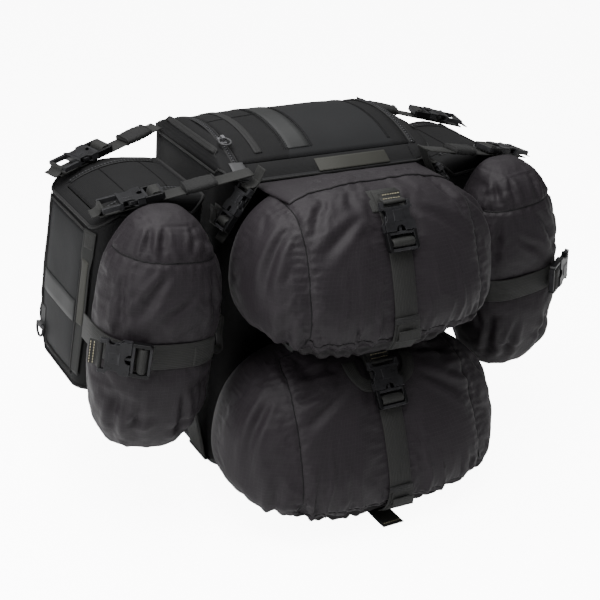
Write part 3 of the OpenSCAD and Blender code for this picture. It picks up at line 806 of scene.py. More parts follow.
def middle_pouch(name, pouch, strap_half, hem_lift, seam_x, seed):
    """One of the two wide pouches: a front panel between two end panels, drawn in at the hem."""
    piece = remesh(pouch.skin(name))
    points = points_of(piece)
    local = points - np.array(pouch.centre)
    foot = local[:, 2] + pouch.half_height
    # the drawn hem: a waist just above the foot, and the gusset's lip below it
    waist = np.exp(-((foot - hem_lift) / (9 * MM)) ** 2)
    lip = smooth_step(hem_lift + 4 * MM, hem_lift - 10 * MM, foot) * smooth_step(0, 8 * MM, foot)
    forward = smooth_step(0.2, -0.4, local[:, 1] / pouch.front)
    squeeze = 1 - 0.105 * waist * forward
    points[:, 0] = points[:, 0] * squeeze
    points[:, 1] = pouch.centre.y + local[:, 1] * squeeze
    sag = soft_noise(points, 0.11, seed) * 5 * MM * (1 - np.exp(-(local[:, 0] / (2 * strap_half)) ** 2))
    set_points(piece, points)
    set_points(piece, points + normals_of(piece) * sag[:, None])
    strap = np.exp(-(local[:, 0] / (1.15 * strap_half)) ** 6) * (local[:, 1] < 0)
    back = smooth_step(-0.1, 0.3, local[:, 1] / pouch.behind)
    seam = np.exp(-((np.abs(local[:, 0]) - seam_x) / (5 * MM)) ** 2) * 0.5
    held = np.clip(strap + back + seam + waist * 0.7 + lip * 0.4, 0, 1)
    inflate(piece, held)
    refine(piece)
    return piece


def end_seam(surface, pouch, x_top, x_foot, lift_top=80, lift_foot=-62, count=26):
    """The line where the front panel meets an end panel, brought onto the finished skin."""
    path = []
    for i in range(count):
        t = i / (count - 1)
        lift = lift_top + (lift_foot - lift_top) * t
        x = x_top + (x_foot - x_top) * t
        low, high = -90.0, -180.0 if x < 0 else 0.0
        for _ in range(24):
            middle = (low + high) / 2
            if abs(pouch.point(middle, lift).x) < abs(x):
                low = middle
            else:
                high = middle
        path.append(surface.nearest(pouch.point(low, lift))[0])
    return path


def seam_line(name, surface, path, lift=-0.2 * MM, radius=0.9 * MM):
    """The dark thread line in a seam's valley."""
    places, _ = surface.lay(path, lift, 3 * MM)
    return cord_tube(name, places, radius, "thread", sides=6)


# ---------------------------------------------------------------- side-release buckles
CHEEK = 6 * MM          # a buckle's width beyond its webbing, each side
CHAMBER = 33 * MM       # depth of the socket that takes the prongs
PRONG = 24 * MM
STUB = 28 * MM          # the part of the male half that stays outside
FRONT_PLATE = (8.7 * MM, 11.3 * MM)     # heights above the cloth
BACK_PLATE = (0.3 * MM, 2.2 * MM)
MOUTH = 44 * MM         # from a buckle's fixed bar to its mouth
LINK_MOUTH = 62 * MM


class BuckleFrame:
    """Where a buckle sits: X runs from its fixed bar to its webbing, Z out of the cloth."""

    def __init__(self, stem, hint, mouth):
        points = points_of(frame["nodes"][stem + "_male"])
        self.ahead = Vector(joints[stem + "_buckle_release"]["axis"]).normalized()
        self.across = Vector(hint).cross(self.ahead).normalized()
        self.out = self.ahead.cross(self.across)
        self.mouth = mouth
        reach = points @ np.array(self.ahead)
        wide = points @ np.array(self.across)
        high = points @ np.array(self.out)
        self.half = (wide.max() - wide.min()) / 2
        self.web = 2 * (self.half - CHEEK)
        tip = mouth + 0.4 * MM + STUB
        self.origin = (self.ahead * (reach.max() - tip) + self.across * (wide.max() + wide.min()) / 2
                       + self.out * (high.min() - 0.4 * MM))
        self.matrix = Matrix((self.ahead, self.across, self.out)).transposed().to_4x4()
        self.matrix.translation = self.origin

    def at(self, x, y, z):
        return self.matrix @ Vector((x, y, z))


def prism(points, outline, low, high):
    """Adds a flat-sided block of the outline between two heights and gives its faces."""
    first, count = len(points), len(outline)
    points += [(x, y, low) for x, y in outline]
    points += [(x, y, high) for x, y in outline]
    faces = [tuple(range(first, first + count))[::-1], tuple(range(first + count, first + 2 * count))]
    faces += [(first + i, first + (i + 1) % count, first + count + (i + 1) % count, first + count + i)
              for i in range(count)]
    return faces


def block(points, x0, x1, y0, y1, z0, z1):
    return prism(points, [(x0, y0), (x1, y0), (x1, y1), (x0, y1)], z0, z1)


def edge_of(x, mouth, half):
    """Half width of the housing: full at its bar and its mouth, waisted between them."""
    t = (mouth - x) / CHAMBER
    waist = smooth_step(0.34, 0.56, t) * smooth_step(1.04, 0.86, t)
    return half - CHEEK * 0.92 * waist


def moulded(name, points, faces, place, round_edge):
    """A buckle half drawn in its own frame, with rounded edges, put in its place."""
    piece = settle(bevel(mesh_piece(name, points, faces, "buckle"), round_edge, 3))
    piece.data.transform(place.matrix)
    return piece


def female_piece(name, place):
    """The socket half: two waisted plates on a core, side walls at the mouth and a webbing bar."""
    mouth, half, web = place.mouth, place.half, place.web
    points, faces = [], []
    start = mouth - CHAMBER - 2 * MM
    stations = [start + (mouth - start) * i / 22 for i in range(23)]
    notch = 0.2 * web
    bite = [(mouth - 8 * MM * math.sin(math.radians(a)), -notch * math.cos(math.radians(a)))
            for a in range(0, 181, 20)]
    lower = [(x, -edge_of(x, mouth, half)) for x in stations]
    upper = [(x, edge_of(x, mouth, half)) for x in reversed(stations)]
    faces += prism(points, lower + bite + upper, *FRONT_PLATE)
    faces += prism(points, lower + upper, *BACK_PLATE)
    ridge = [(x, 0.42 * edge_of(x, mouth, half)) for x in stations[3:14]]
    faces += prism(points, [(x, -y) for x, y in ridge] + ridge[::-1], 11.2 * MM, 12.0 * MM)
    for s in (-1, 1):
        low, high = sorted((s * (half - 2.6 * MM), s * half))
        faces += block(points, mouth - 11 * MM, mouth, low, high, 0.6 * MM, 11 * MM)
        low, high = sorted((s * (web / 2 + 0.5 * MM), s * (half - 0.3 * MM)))
        faces += block(points, 0.6 * MM, start + 3 * MM, low, high, 2.4 * MM, 9.4 * MM)
    faces += block(points, start, start + 3.4 * MM, -half + 0.5 * MM, half - 0.5 * MM, 0.8 * MM, 10.8 * MM)
    faces += block(points, 0, 3.2 * MM, -half, half, 3.4 * MM, 8.2 * MM)
    return moulded(name, points, faces, place, 0.75 * MM)


def male_piece(name, place):
    """The plug half: a ladder of two slots, two sprung arms and a middle guide."""
    mouth, half = place.mouth, place.half
    x = mouth + 0.4 * MM
    points, faces = [], []
    for s in (-1, 1):
        end = x + STUB
        rail = [(x, s * (half - 5.2 * MM)), (x, s * (half - 0.3 * MM)), (x + 4 * MM, s * half),
                (end - 3 * MM, s * half), (end, s * (half - 3 * MM)), (end, s * (half - 5.4 * MM))]
        faces += prism(points, rail[::s], 0.8 * MM, 10.2 * MM)
        arm = [(x + 1 * MM - (PRONG + 1 * MM) * t, half - 5.6 * MM - 0.64 * MM * math.sin(math.pi * t))
               for t in (i / 12 for i in range(13))]
        head = [(mouth - PRONG - 1 * MM, half - 7.4 * MM), (mouth - PRONG + 3 * MM, half - 4.0 * MM),
                (mouth - PRONG + 9 * MM, half - 3.2 * MM), (mouth - 9 * MM, half - 4.6 * MM),
                (x + 1 * MM, half - 3.4 * MM)]
        inner = [(px, py - 3.0 * MM) for px, py in arm]
        outline = [(px, s * py) for px, py in inner + head]
        faces += prism(points, outline[::-s], 3.0 * MM, 8.4 * MM)
    side = half - 4.6 * MM
    for low, high, top in ((0, 4.6 * MM, 9.4 * MM), (13.2 * MM, 16.8 * MM, 5.8 * MM),
                           (STUB - 4 * MM, STUB, 9.4 * MM)):
        faces += block(points, x + low, x + high, -side, side, 1.4 * MM, top)
    faces += block(points, mouth - 15 * MM, x + 1 * MM, -2.4 * MM, 2.4 * MM, 3.2 * MM, 8.4 * MM)
    return moulded(name, points, faces, place, 0.85 * MM)


def local_tape(name, place, path, width, thick=1.5 * MM, steps=5):
    """Tape drawn in a buckle's own frame, as (x, z) points in millimetres."""
    places = [place.at(x * MM, 0, z * MM) for x, z in path]
    return tape(name, curve_through(places, steps), -place.across, width, thick, "webbing")


def buckle(stem, hint, mouth, females):
    """Both halves and the webbing turned round their bars."""
    place = BuckleFrame(stem, hint, mouth)
    name, male = stem + "_buckle", stem + "_male"
    socket = female_piece(name + "_socket", place)
    plug = male_piece(name + "_plug", place)
    fixed = local_tape(name + "_anchor_loop", place,
                       [(-15, -0.6), (-8, 0.2), (-3.4, 3.0), (-1.6, 6.6), (0.6, 8.9), (3.0, 8.8), (4.6, 6.4),
                        (4.8, 3.2), (4.0, 0.8)], place.web - 1 * MM)
    x = (mouth + 0.4 * MM) / MM
    moving = local_tape(name + "_plug_loop", place,
                        [(x + 27, 0.0), (x + 23.4, 0.8), (x + 21.4, 4.0), (x + 19.6, 8.2), (x + 16.4, 10.2),
                         (x + 12.8, 9.2), (x + 10.4, 5.6), (x + 8.8, 2.0), (x + 6, 0.2)], place.web - 1 * MM)
    ride_all([socket])
    ride_all([fixed])
    ride_all([plug], male)
    ride_all([moving], male)
    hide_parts(male)
    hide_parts(females)
    return place


def buckle_stitches(name, place, marks, half, lift):
    """Rows of stitches across the webbing beside a buckle's fixed bar."""
    return [stitch_row(f"{name}_{i}", [place.at(x * MM, y, lift) for y in (-half, half)], place.out)
            for i, x in enumerate(marks)]


# ---------------------------------------------------------------- the two middle pouches and their straps
def strap_path(pouch, low, high, lift, count):
    """Up-and-down line in the middle of a pouch's front, a little off its skin."""
    path = [pouch.point(-90, low + (high - low) * i / (count - 1)) for i in range(count)]
    return [p + Vector((1, 0, 0)).cross(t) * -lift for p, t in zip(path, tangents(path))]


# folds of the cloth, drawn one by one: turn and lift of both ends in degrees, depth and width in mm
POUCH_FOLDS = {
    "upper": (
        (-156, -46, -140, -4, 6.0, 8), (-143, -60, -130, -20, 5.0, 7), (-125, -62, -119, -30, 5.0, 6),
        (-108, -63, -102, -34, 4.0, 5), (-77, -62, -69, -28, 5.0, 6), (-66, -60, -54, -16, 6.0, 7),
        (-53, -56, -33, -8, 6.0, 8), (-38, -48, -20, -14, 5.0, 7), (-99, 42, -121, 14, 3.5, 8),
        (-81, 42, -58, 12, 4.0, 8), (-132, 62, -124, 26, 4.0, 7), (-46, 60, -56, 28, 3.5, 7),
        (-150, 40, -158, -2, 5.0, 8), (-28, 44, -19, 2, 5.0, 8), (-112, 70, -104, 48, 3.0, 6),
    ),
    "lower": (
        (-152, -44, -136, -2, 6.0, 8), (-138, -60, -126, -24, 5.0, 7), (-120, -62, -113, -26, 5.0, 6),
        (-104, -63, -99, -34, 4.0, 5), (-76, -62, -70, -30, 4.5, 6), (-62, -60, -50, -20, 6.0, 7),
        (-48, -54, -32, -6, 5.5, 8), (-100, 36, -124, 12, 4.0, 8), (-80, 36, -56, 8, 4.5, 8),
        (-138, 48, -108, 56, 4.5, 6), (-72, 56, -42, 48, 4.5, 6), (-152, 34, -160, -8, 5.0, 8),
        (-28, 38, -20, -6, 5.0, 8), (-130, 30, -112, 38, 3.5, 7), (-66, 32, -48, 26, 3.5, 7),
    ),
    "side": (
        (-98, -14, -110, -46, 5.0, 7), (-72, -14, -66, -48, 5.0, 7), (-128, -12, -138, -46, 5.0, 7),
        (-42, -16, -36, -50, 5.0, 7), (-84, 31, -60, 10, 5.0, 7), (-118, 31, -130, 6, 4.5, 7),
        (-100, 20, -78, 6, 4.0, 6), (-152, 26, -146, -2, 4.5, 7), (-30, 28, -38, 2, 4.5, 7),
        (-104, 62, -98, 40, 3.5, 5), (-72, 62, -76, 40, 3.5, 5), (-132, 60, -122, 40, 3.5, 5),
        (-50, 60, -56, 40, 3.5, 5), (-120, -30, -92, -38, 3.5, 7), (-60, -34, -84, -24, 3.5, 7),
    ),
}


def wide_pouch(node, front, behind, taper, swell):
    low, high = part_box(node)
    centre = (0, high.y - behind, (low.z + high.z) / 2)
    return Pouch(centre, high.x, front, (high.z - low.z) / 2, behind, taper, swell, 0.62)


def make_middle_pouch(name, pouch, seams, seed):
    """The cloth of a wide pouch with its seams; seams are their distances aside, at top and foot."""
    piece = middle_pouch(name + "_cloth", pouch, WIDE_WEB / 2, 33 * MM, seams[1], seed)
    surface = Surface(piece)
    left = end_seam(surface, pouch, -seams[0], -seams[1])
    right = end_seam(surface, pouch, seams[0], seams[1])
    reach = 0.92 * pouch.half_width
    hem = [surface.nearest(pouch.centre + Vector((x, -pouch.front * 1.35, 34 * MM - pouch.half_height)))[0]
           for x in np.linspace(-reach, reach, 60)]
    for path, salt in ((left, 1), (right, 2)):
        sew(piece, path, seed=seed + salt)
    bottom = pouch.centre.z - pouch.half_height

    def above(points):
        beside = smooth_step(0.012, 0.045, np.abs(points[:, 0]))
        return smooth_step(bottom + 26 * MM, bottom + 44 * MM, points[:, 2]) * beside

    gather(piece, hem, 62 * MM, 8.0 * MM, 29 * MM, seed, above)
    crease(piece, pouch, POUCH_FOLDS[name])
    sew(piece, hem, depth=2.5 * MM, width=3.5 * MM, pucker=1.4 * MM, pitch=9 * MM, seed=seed + 3)
    points = points_of(piece)
    points[:, 2] = np.maximum(points[:, 2], 0.6 * MM)
    set_points(piece, points)
    lay_weave(piece, pouch.centre, pouch.half_width * 0.8)
    paint_faces(piece, "ripstop_dark", lambda c: c.z < bottom + 32 * MM)
    surface = Surface(piece)
    pieces = [piece, seam_line(name + "_left_seam", surface, left),
              seam_line(name + "_right_seam", surface, right)]
    tab = [pouch.point(-171 + 2 * k, -44 - k) for k in range(8)]
    pieces.append(surface.tape_on(name + "_side_tab", tab, 16 * MM, 1.0 * MM, "reflective", 0.6 * MM))
    pieces.append(seam_line(f"{name}_hem_seam", surface, hem, radius=0.8 * MM))
    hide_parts(name + "_pouch")
    ride_all(pieces)
    return surface


# ---------------------------------------------------------------- side pouches and their belts
def side_pouch(side, sign):
    """A tall pouch strapped to the front of a pannier: a main body under a drawn-in cap."""
    low, high = hung_box("right_pouch")
    centre = Vector(((low.x + high.x) / 2, high.y - 31 * MM, (low.z + high.z) / 2))
    pouch = Pouch(centre, 88 * MM, 89 * MM, (high.z - low.z) / 2, 31 * MM, 0.02, 0.05, 0.72)
    name = side + "_pouch_cloth"
    piece = remesh(pouch.skin(name, 64, 40))
    belt_z = centre.z - 8 * MM
    points = points_of(piece)
    local = points - np.array(centre)
    sag = soft_noise(points + sign, 0.1, 3.0) * 4 * MM
    sag -= 3 * MM * np.exp(-((points[:, 2] - belt_z) / (22 * MM)) ** 2)
    points = points + normals_of(piece) * sag[:, None]
    draw = 0.13 * smooth_step(0.5, 0.95, local[:, 2] / pouch.half_height)
    points[:, 0] -= (points[:, 0] - centre.x) * draw * (1 + 0.5 * np.sign(centre.x - points[:, 0]))
    set_points(piece, points)
    belt = np.exp(-((points[:, 2] - belt_z) / (21 * MM)) ** 6)
    back = smooth_step(0.0, 0.4, local[:, 1] / pouch.behind)
    crown = smooth_step(0.9, 1.0, np.abs(local[:, 2]) / pouch.half_height)
    inflate(piece, np.clip(belt + back + crown, 0, 1))
    refine(piece)
    surface = Surface(piece)
    cap, foot = ([surface.nearest(pouch.point(a, lift))[0] for a in range(-176, 3, 4)] for lift in (36, -58))
    sew(piece, cap, depth=2.5 * MM, pucker=1.2 * MM, pitch=16 * MM, seed=sign)

    def under(points):
        return smooth_step(belt_z - 20 * MM, belt_z - 60 * MM, points[:, 2])

    def over(points):
        return smooth_step(cap[0].z, cap[0].z + 10 * MM, points[:, 2])

    gather(piece, foot, 48 * MM, 2.6 * MM, 34 * MM, 11.0 + sign, under)
    gather(piece, cap, 40 * MM, 4.0 * MM, 30 * MM, 21.0 + sign, over)
    crease(piece, pouch, POUCH_FOLDS["side"])
    lay_weave(piece, centre, 85 * MM)
    surface = Surface(piece)
    seam = seam_line(side + "_pouch_seam", surface, cap)

    def round_pouch(first, last, count, z):
        spots = [pouch.point(a, 0) for a in np.linspace(first, last, count)]
        return [Vector((p.x, p.y, z)) for p in spots]

    belt_path = round_pouch(-177, -3, 75, belt_z)
    ends = [Vector((p.x, centre.y + 29 * MM, belt_z)) for p in (belt_path[0], belt_path[-1])]
    places = [ends[0]] + belt_path + [ends[1]]
    places = [p + t.cross(Vector((0, 0, 1))) * 0.8 * MM for p, t in zip(places, tangents(places))]
    strap = tape(side + "_belt_tape", places, (0, 0, -1), WIDE_WEB, TAPE_THICK, "webbing")
    patch = surface.tape_on(side + "_belt_patch", round_pouch(-24, -2, 12, belt_z), WIDE_WEB + 20 * MM,
                            1.0 * MM, "webbing", 0.4 * MM)
    tail = surface.tape_on(side + "_belt_tail", round_pouch(-104, -152, 26, belt_z - 1 * MM),
                           WIDE_WEB - 2 * MM, 1.7 * MM, "webbing", 3.1 * MM)
    for made in (piece, seam, strap, patch, tail):
        to_side(made, sign)
    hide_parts(side + "_pouch")
    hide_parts(side + "_belt")
    ride_all([piece, seam])
    ride_all([strap, patch, tail])
    axis = Vector(joints[side + "_belt_buckle_release"]["axis"])
    up = HANG.to_3x3() @ Vector((0, 0, 1))
    up.x *= sign
    place = buckle(side + "_belt", up.cross(axis) * sign, MOUTH, side + "_belt_female")
    ride_all(buckle_stitches(side + "_belt_stitches", place, (-8, -13), 17 * MM, 1.2 * MM))


# ---------------------------------------------------------------- straps over the middle pouches
def front_straps(name, pouch, place, lifts, patch_lifts):
    """The strap that closes a middle pouch: sewn patch, strap, folded tail and its stitching."""
    across = Vector((-1, 0, 0))
    strap = tape(name + "_strap_tape", strap_path(pouch, *lifts, 2.2 * MM, 60), across,
                 WIDE_WEB, TAPE_THICK, "webbing")
    patch = tape(name + "_strap_patch", strap_path(pouch, *patch_lifts, 0.8 * MM, 16), across,
                 WIDE_WEB + 20 * MM, 1.2 * MM, "webbing")
    foot = lifts[1]
    tail_path = [p - across * 4 * MM for p in strap_path(pouch, foot + 30, foot + 2, 4.4 * MM, 20)]
    tail = tape(name + "_strap_tail", tail_path, (-1, 0, 0.06), WIDE_WEB, 1.7 * MM, "webbing")
    ahead = tangents(tail_path)
    outs = [across.cross(t) for t in ahead]
    fold = [tail_path[i] + outs[i] * (4.6 * MM + 2.5 * MM * (1 - k / 5))
            for k, i in enumerate(range(9, 3, -1))]
    turn = [tail_path[10] + outs[10] * 2.5 * MM + ahead[10] * 2 * MM] + fold
    flap = tape(name + "_strap_fold", curve_through(turn, 3)[::-1], (-1, 0, 0.05), WIDE_WEB,
                1.7 * MM, "webbing")
    keeper = tape(name + "_strap_keeper", strap_path(pouch, foot + 33, foot + 29, 4.6 * MM, 4), across,
                  WIDE_WEB + 4 * MM, 1.2 * MM, "binding")
    rows = buckle_stitches(name + "_stitches", place, (-4.5, -10.5), 15 * MM, 2.6 * MM)
    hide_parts(name + "_strap")
    ride_all([strap, patch, tail, flap, keeper] + rows)


# ---------------------------------------------------------------- sewn bags
def rounded(x0, x1, y0, y1, radius, across=26, along=24, turn=7):
    """Outline of a rounded rectangle, with the same count of points whatever its size."""
    centres = [(x1 - radius, y0 + radius, -90), (x1 - radius, y1 - radius, 0),
               (x0 + radius, y1 - radius, 90), (x0 + radius, y0 + radius, 180)]
    points = []
    for k, (cx, cy, start) in enumerate(centres):
        arc = [(cx + radius * math.cos(math.radians(start + 90 * i / turn)),
                cy + radius * math.sin(math.radians(start + 90 * i / turn))) for i in range(turn + 1)]
        nx, ny, angle = centres[(k + 1) % 4]
        end = (nx + radius * math.cos(math.radians(angle)), ny + radius * math.sin(math.radians(angle)))
        count = along if k % 2 == 0 else across
        points += arc + [(arc[-1][0] + (end[0] - arc[-1][0]) * i / count,
                          arc[-1][1] + (end[1] - arc[-1][1]) * i / count) for i in range(1, count)]
    return points


def thicken(piece, thick=SKIN_THICK):
    add_modifier(piece, "SOLIDIFY", thickness=thick, offset=-1)
    return settle(piece)


def rings_piece(name, rings, weave, material, cap=False):
    """A skin through closed rings of points; cap closes the last ring."""
    count = len(rings[0])
    points = [p for ring in rings for p in ring]
    faces = grid_faces(len(rings), count, closed=True)
    if cap:
        faces.append(tuple((len(rings) - 1) * count + i for i in range(count)))
    return keep_weave(mesh_piece(name, points, faces, material), weave)


def arc_radius(half_span, rise):
    return (half_span ** 2 + rise ** 2) / (2 * rise)


class Bag:
    """A bag's outside: a rounded plan, a crowned top with a lid window, and a foot."""

    def __init__(self, plan, window, crown, foot, seed):
        self.plan, self.window, self.crown, self.foot, self.seed = plan, window, crown, foot, seed
        count = len(plan)
        self.out, self.run = [], [0.0]
        for i in range(count):
            a, b = Vector(plan[i - 1]), Vector(plan[(i + 1) % count])
            side = (b - a).normalized()
            self.out.append(Vector((side.y, -side.x)))
            self.run.append(self.run[-1] + (b - a).length / 2)

    def walls(self, name, material, bulge, slack, rows=30):
        """The side panels: padded, fuller in the middle, and slack towards the foot."""
        rings, weave = [], []
        for r in range(rows + 1):
            t = r / rows
            ring = []
            for i, (x, y) in enumerate(self.plan):
                top, foot = self.crown(x, y), self.foot(y)
                z = foot + (top - foot) * t
                fold = soft_noise([(x, y, z * 0.35)], 0.05, self.seed)[0]
                deep = soft_noise([(x, y, z)], 0.11, self.seed + 5)[0]
                push = bulge * math.sin(math.pi * min(1, t * 1.02)) ** 0.7
                push += slack * (1 - t) ** 0.5 * (0.6 * fold + 0.7 * deep) * math.sin(math.pi * t)
                ring.append(Vector((x, y, z)) + Vector((*self.out[i], 0)) * push)
                weave.append((self.run[i], z, 0))
            rings.append(ring)
        return rings_piece(name, rings, weave, material)

    def rim(self, name, material, rows=9, swell=2.0 * MM):
        """The part of the top that stays when the lid opens."""
        rings, weave = [], []
        for r in range(rows + 1):
            t = r / rows
            ring = []
            for (x0, y0), (x1, y1) in zip(self.plan, self.window):
                x, y = x0 + (x1 - x0) * (1 - math.cos(math.pi / 2 * t)), y0 + (y1 - y0) * t
                z = self.crown(x, y) + swell * math.sin(math.pi * t)
                ring.append(Vector((x, y, z)))
                weave.append((x, y, 0))
            rings.append(ring)
        return rings_piece(name, rings, weave, material)

    def base(self, name, material, rows=6):
        middle = Vector((sum(p[0] for p in self.plan), sum(p[1] for p in self.plan))) / len(self.plan)
        rings, weave = [], []
        for r in range(rows):
            ring = []
            for x, y in self.plan:
                p = Vector((x, y)).lerp(middle, 0.94 * r / (rows - 1))
                ring.append(Vector((p.x, p.y, self.foot(p.y))))
                weave.append((p.x, p.y, 0))
            rings.append(ring[::-1])
            weave[-len(ring):] = weave[-len(ring):][::-1]
        return rings_piece(name, rings, weave, material, cap=True)

    def lid(self, name, material, slit, swell, rows=14):
        """The lid that fills the window, padded and a little wrinkled."""
        xs, ys = [p[0] for p in self.window], [p[1] for p in self.window]
        mx, my = (min(xs) + max(xs)) / 2, (min(ys) + max(ys)) / 2
        hx, hy = (max(xs) - min(xs)) / 2, (max(ys) - min(ys)) / 2
        rings, weave = [], []
        for r in range(rows + 1):
            s = 1 - 0.985 * r / rows
            ring = []
            for x, y in self.window:
                px, py = mx + (x - mx) * (1 - slit / hx) * s, my + (y - my) * (1 - slit / hy) * s
                u, v = (px - mx) / hx, (py - my) / hy
                full = (1 - u ** 4) * (1 - v ** 6)
                wrinkle = soft_noise([(px, py * 0.5, 0)], 0.045, self.seed + 9)[0] * 1.2 * MM
                ring.append(Vector((px, py, self.crown(px, py) + (swell + wrinkle) * full)))
                weave.append((px, py, 0))
            rings.append(ring)
        return rings_piece(name, rings, weave, material, cap=True)


def paint_faces(piece, material, chosen):
    """Gives the faces whose middle passes chosen another material."""
    piece.data.materials.append(materials[material])
    for face in piece.data.polygons:
        if chosen(face.center):
            face.material_index = len(piece.data.materials) - 1


def zip_line(name, path, across, width=11 * MM):
    """A coil zip: its tape and the row of teeth down its middle."""
    strip = tape(name + "_tape", path, across, width, 0.8 * MM, "tape")
    spots = resample(path, 2.6 * MM)
    points, faces = [], []
    side = Vector(across).normalized()
    for i, (p, t) in enumerate(zip(spots, tangents(spots))):
        out = t.cross(side).normalized()
        s = 1 if i % 2 else -1
        first = len(points)
        for along in (-0.9, 0.9):
            for x, z in ((-0.6, 0.7), (2.3, 0.7), (2.5, 1.6), (0.9, 2.1), (-0.8, 1.8)):
                points.append(p + t * along * MM + side * x * s * MM + out * z * MM)
        faces += tube_faces(2, 5, first=first)
    teeth = mesh_piece(name + "_teeth", points, faces, "zip")
    ride_all([strip, teeth])
    return strip, teeth


# ---------------------------------------------------------------- the centre bag
def centre_bag():
    low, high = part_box("centre_shell")
    _, lid_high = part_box("centre_lid")
    half_w, half_d, top, corner = high.x, high.y, lid_high.z, 38 * MM
    crown_r = arc_radius(half_d, 44 * MM)
    crown_z = top - crown_r
    open_x, open_y = lid_high.x + 1.2 * MM, lid_high.y + 1.2 * MM

    def crown(x, y):
        arc = crown_z + math.sqrt(crown_r ** 2 - min(abs(y), half_d) ** 2)
        over = max(0.0, abs(x) - (half_w - corner))
        return min(arc, top - corner + math.sqrt(max(0.0, corner ** 2 - over ** 2)))

    bag = Bag(rounded(-half_w, half_w, -half_d, half_d, corner),
              rounded(-open_x, open_x, -open_y, open_y, 3 * MM), crown, lambda y: low.z, 2.0)
    walls = bag.walls("centre_walls", "nylon", 2.5 * MM, 5 * MM)
    rim = bag.rim("centre_rim", "nylon")
    base = bag.base("centre_base", "nylon")
    for piece in (walls, rim, base):
        thicken(piece)
    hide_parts("centre_shell")
    ride_all([walls, rim, base])
    lid = bag.lid("centre_lid_cloth", "coated", 1.2 * MM, 5 * MM)
    paint_faces(lid, "nylon", lambda c: c.x < -64 * MM or c.x > 118 * MM)
    skin = Surface(lid)
    thicken(lid)
    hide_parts("centre_lid")
    ride_all([lid], "centre_lid")

    def over_lid(x):
        return [Vector((x, y, top)) for y in np.linspace(-open_y + 5 * MM, open_y - 5 * MM, 30)]

    stripe = skin.tape_on("lid_stripe_tape", over_lid(-43 * MM), 38 * MM, 0.9 * MM, "reflective", 0.1 * MM)
    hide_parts("lid_stripe")
    ride_all([stripe], "centre_lid")
    seams = [seam_line(f"lid_seam_{i}", skin, over_lid(x * MM), lift=0.3 * MM)
             for i, x in enumerate((-65, -21, 118, 121))]
    for i, x in enumerate((-68, -61, -25, -18)):
        places, _ = skin.lay(over_lid(x * MM), 0.9 * MM if i in (1, 2) else 0.2 * MM, 5 * MM)
        seams.append(stitch_row(f"lid_stitches_{i}", places, (0, 0, 1), "thread", radius=0.5 * MM))
    cross = [Vector((-146 * MM + 80 * MM * k / 12, 8 * MM, top)) for k in range(13)]
    seams.append(seam_line("lid_cross_seam", skin, cross, lift=0.3 * MM))
    ride_all(seams, "centre_lid")
    flap = skin.tape_on("lid_zip_flap", over_lid(-112 * MM), 13 * MM, 1.0 * MM, "binding", 0.3 * MM)
    ride_all([flap], "centre_lid")
    zip_x, welt_x, rim_skin = open_x + ZIP_ASIDE, half_w - 9 * MM, Surface(rim)
    for label, s in SIDES:
        path = [Vector((s * zip_x, y, crown(0, y) + 0.9 * MM)) for y in np.linspace(-open_y, open_y, 40)]
        strip, _ = zip_line(f"centre_{label}_zip", path, (-1, 0, 0))
        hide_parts("zip_tapes")
        edge = [Vector((s * welt_x, y, crown(welt_x, y) + 0.5 * MM))
                for y in np.linspace(-half_d + 20 * MM, half_d - 20 * MM, 40)]
        welt = rim_skin.tape_on(f"centre_{label}_welt", edge, 10 * MM, 1.6 * MM, "binding", 0.2 * MM)
        ride_all([welt])
    garage = [Vector((-zip_x, y, crown(0, y) + 1.2 * MM))
              for y in np.linspace(-open_y - 20 * MM, -open_y + 2 * MM, 10)]
    garage = rim_skin.tape_on("zip_garage", garage, 24 * MM, 1.8 * MM, "puller", 0.5 * MM)
    ride_all([garage])
    outline = [Vector((x, y, crown(x, y) - 1 * MM)) for x, y in bag.plan]
    piping = cord_tube("centre_piping", outline, 2.1 * MM, "binding", 8, closed=True)
    band = [Vector((x, y, low.z + 46 * MM)) for x, y in bag.plan + bag.plan[:1]]
    seam = seam_line("centre_skirt_seam", Surface(walls), band, lift=0.3 * MM)
    ride_all([piping, seam])
    # the yoke that caps the front of the crown
    yoke_low, yoke_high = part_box("front_yoke")
    width = yoke_high.x - yoke_low.x
    arc = [Vector((0, -y, crown(0, y) + 0.6 * MM)) for y in np.linspace(open_y + 3 * MM, half_d, 12)]
    drop = [Vector((0, -half_d - 0.7 * MM, arc[-1].z - 33 * MM * k / 6)) for k in range(1, 7)]
    yoke = tape("front_yoke_cloth", curve_through(arc + drop, 2), (-1, 0, 0), width, 2.1 * MM, "coated")
    inset = tape("front_yoke_inset", shifted(arc[2:], 34 * MM, -0.4 * MM, 2.2 * MM), (-1, 0, 0),
                 126 * MM, 0.7 * MM, "inset")
    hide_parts("front_yoke")
    aside = width / 2 - 4 * MM
    rows = [stitch_row(f"yoke_stitches_{i}", shifted(arc, x, 0, 2.3 * MM), (0, -0.2, 1),
                       "thread", radius=0.5 * MM) for i, x in enumerate((-aside, aside))]
    ride_all([yoke, inset] + rows)


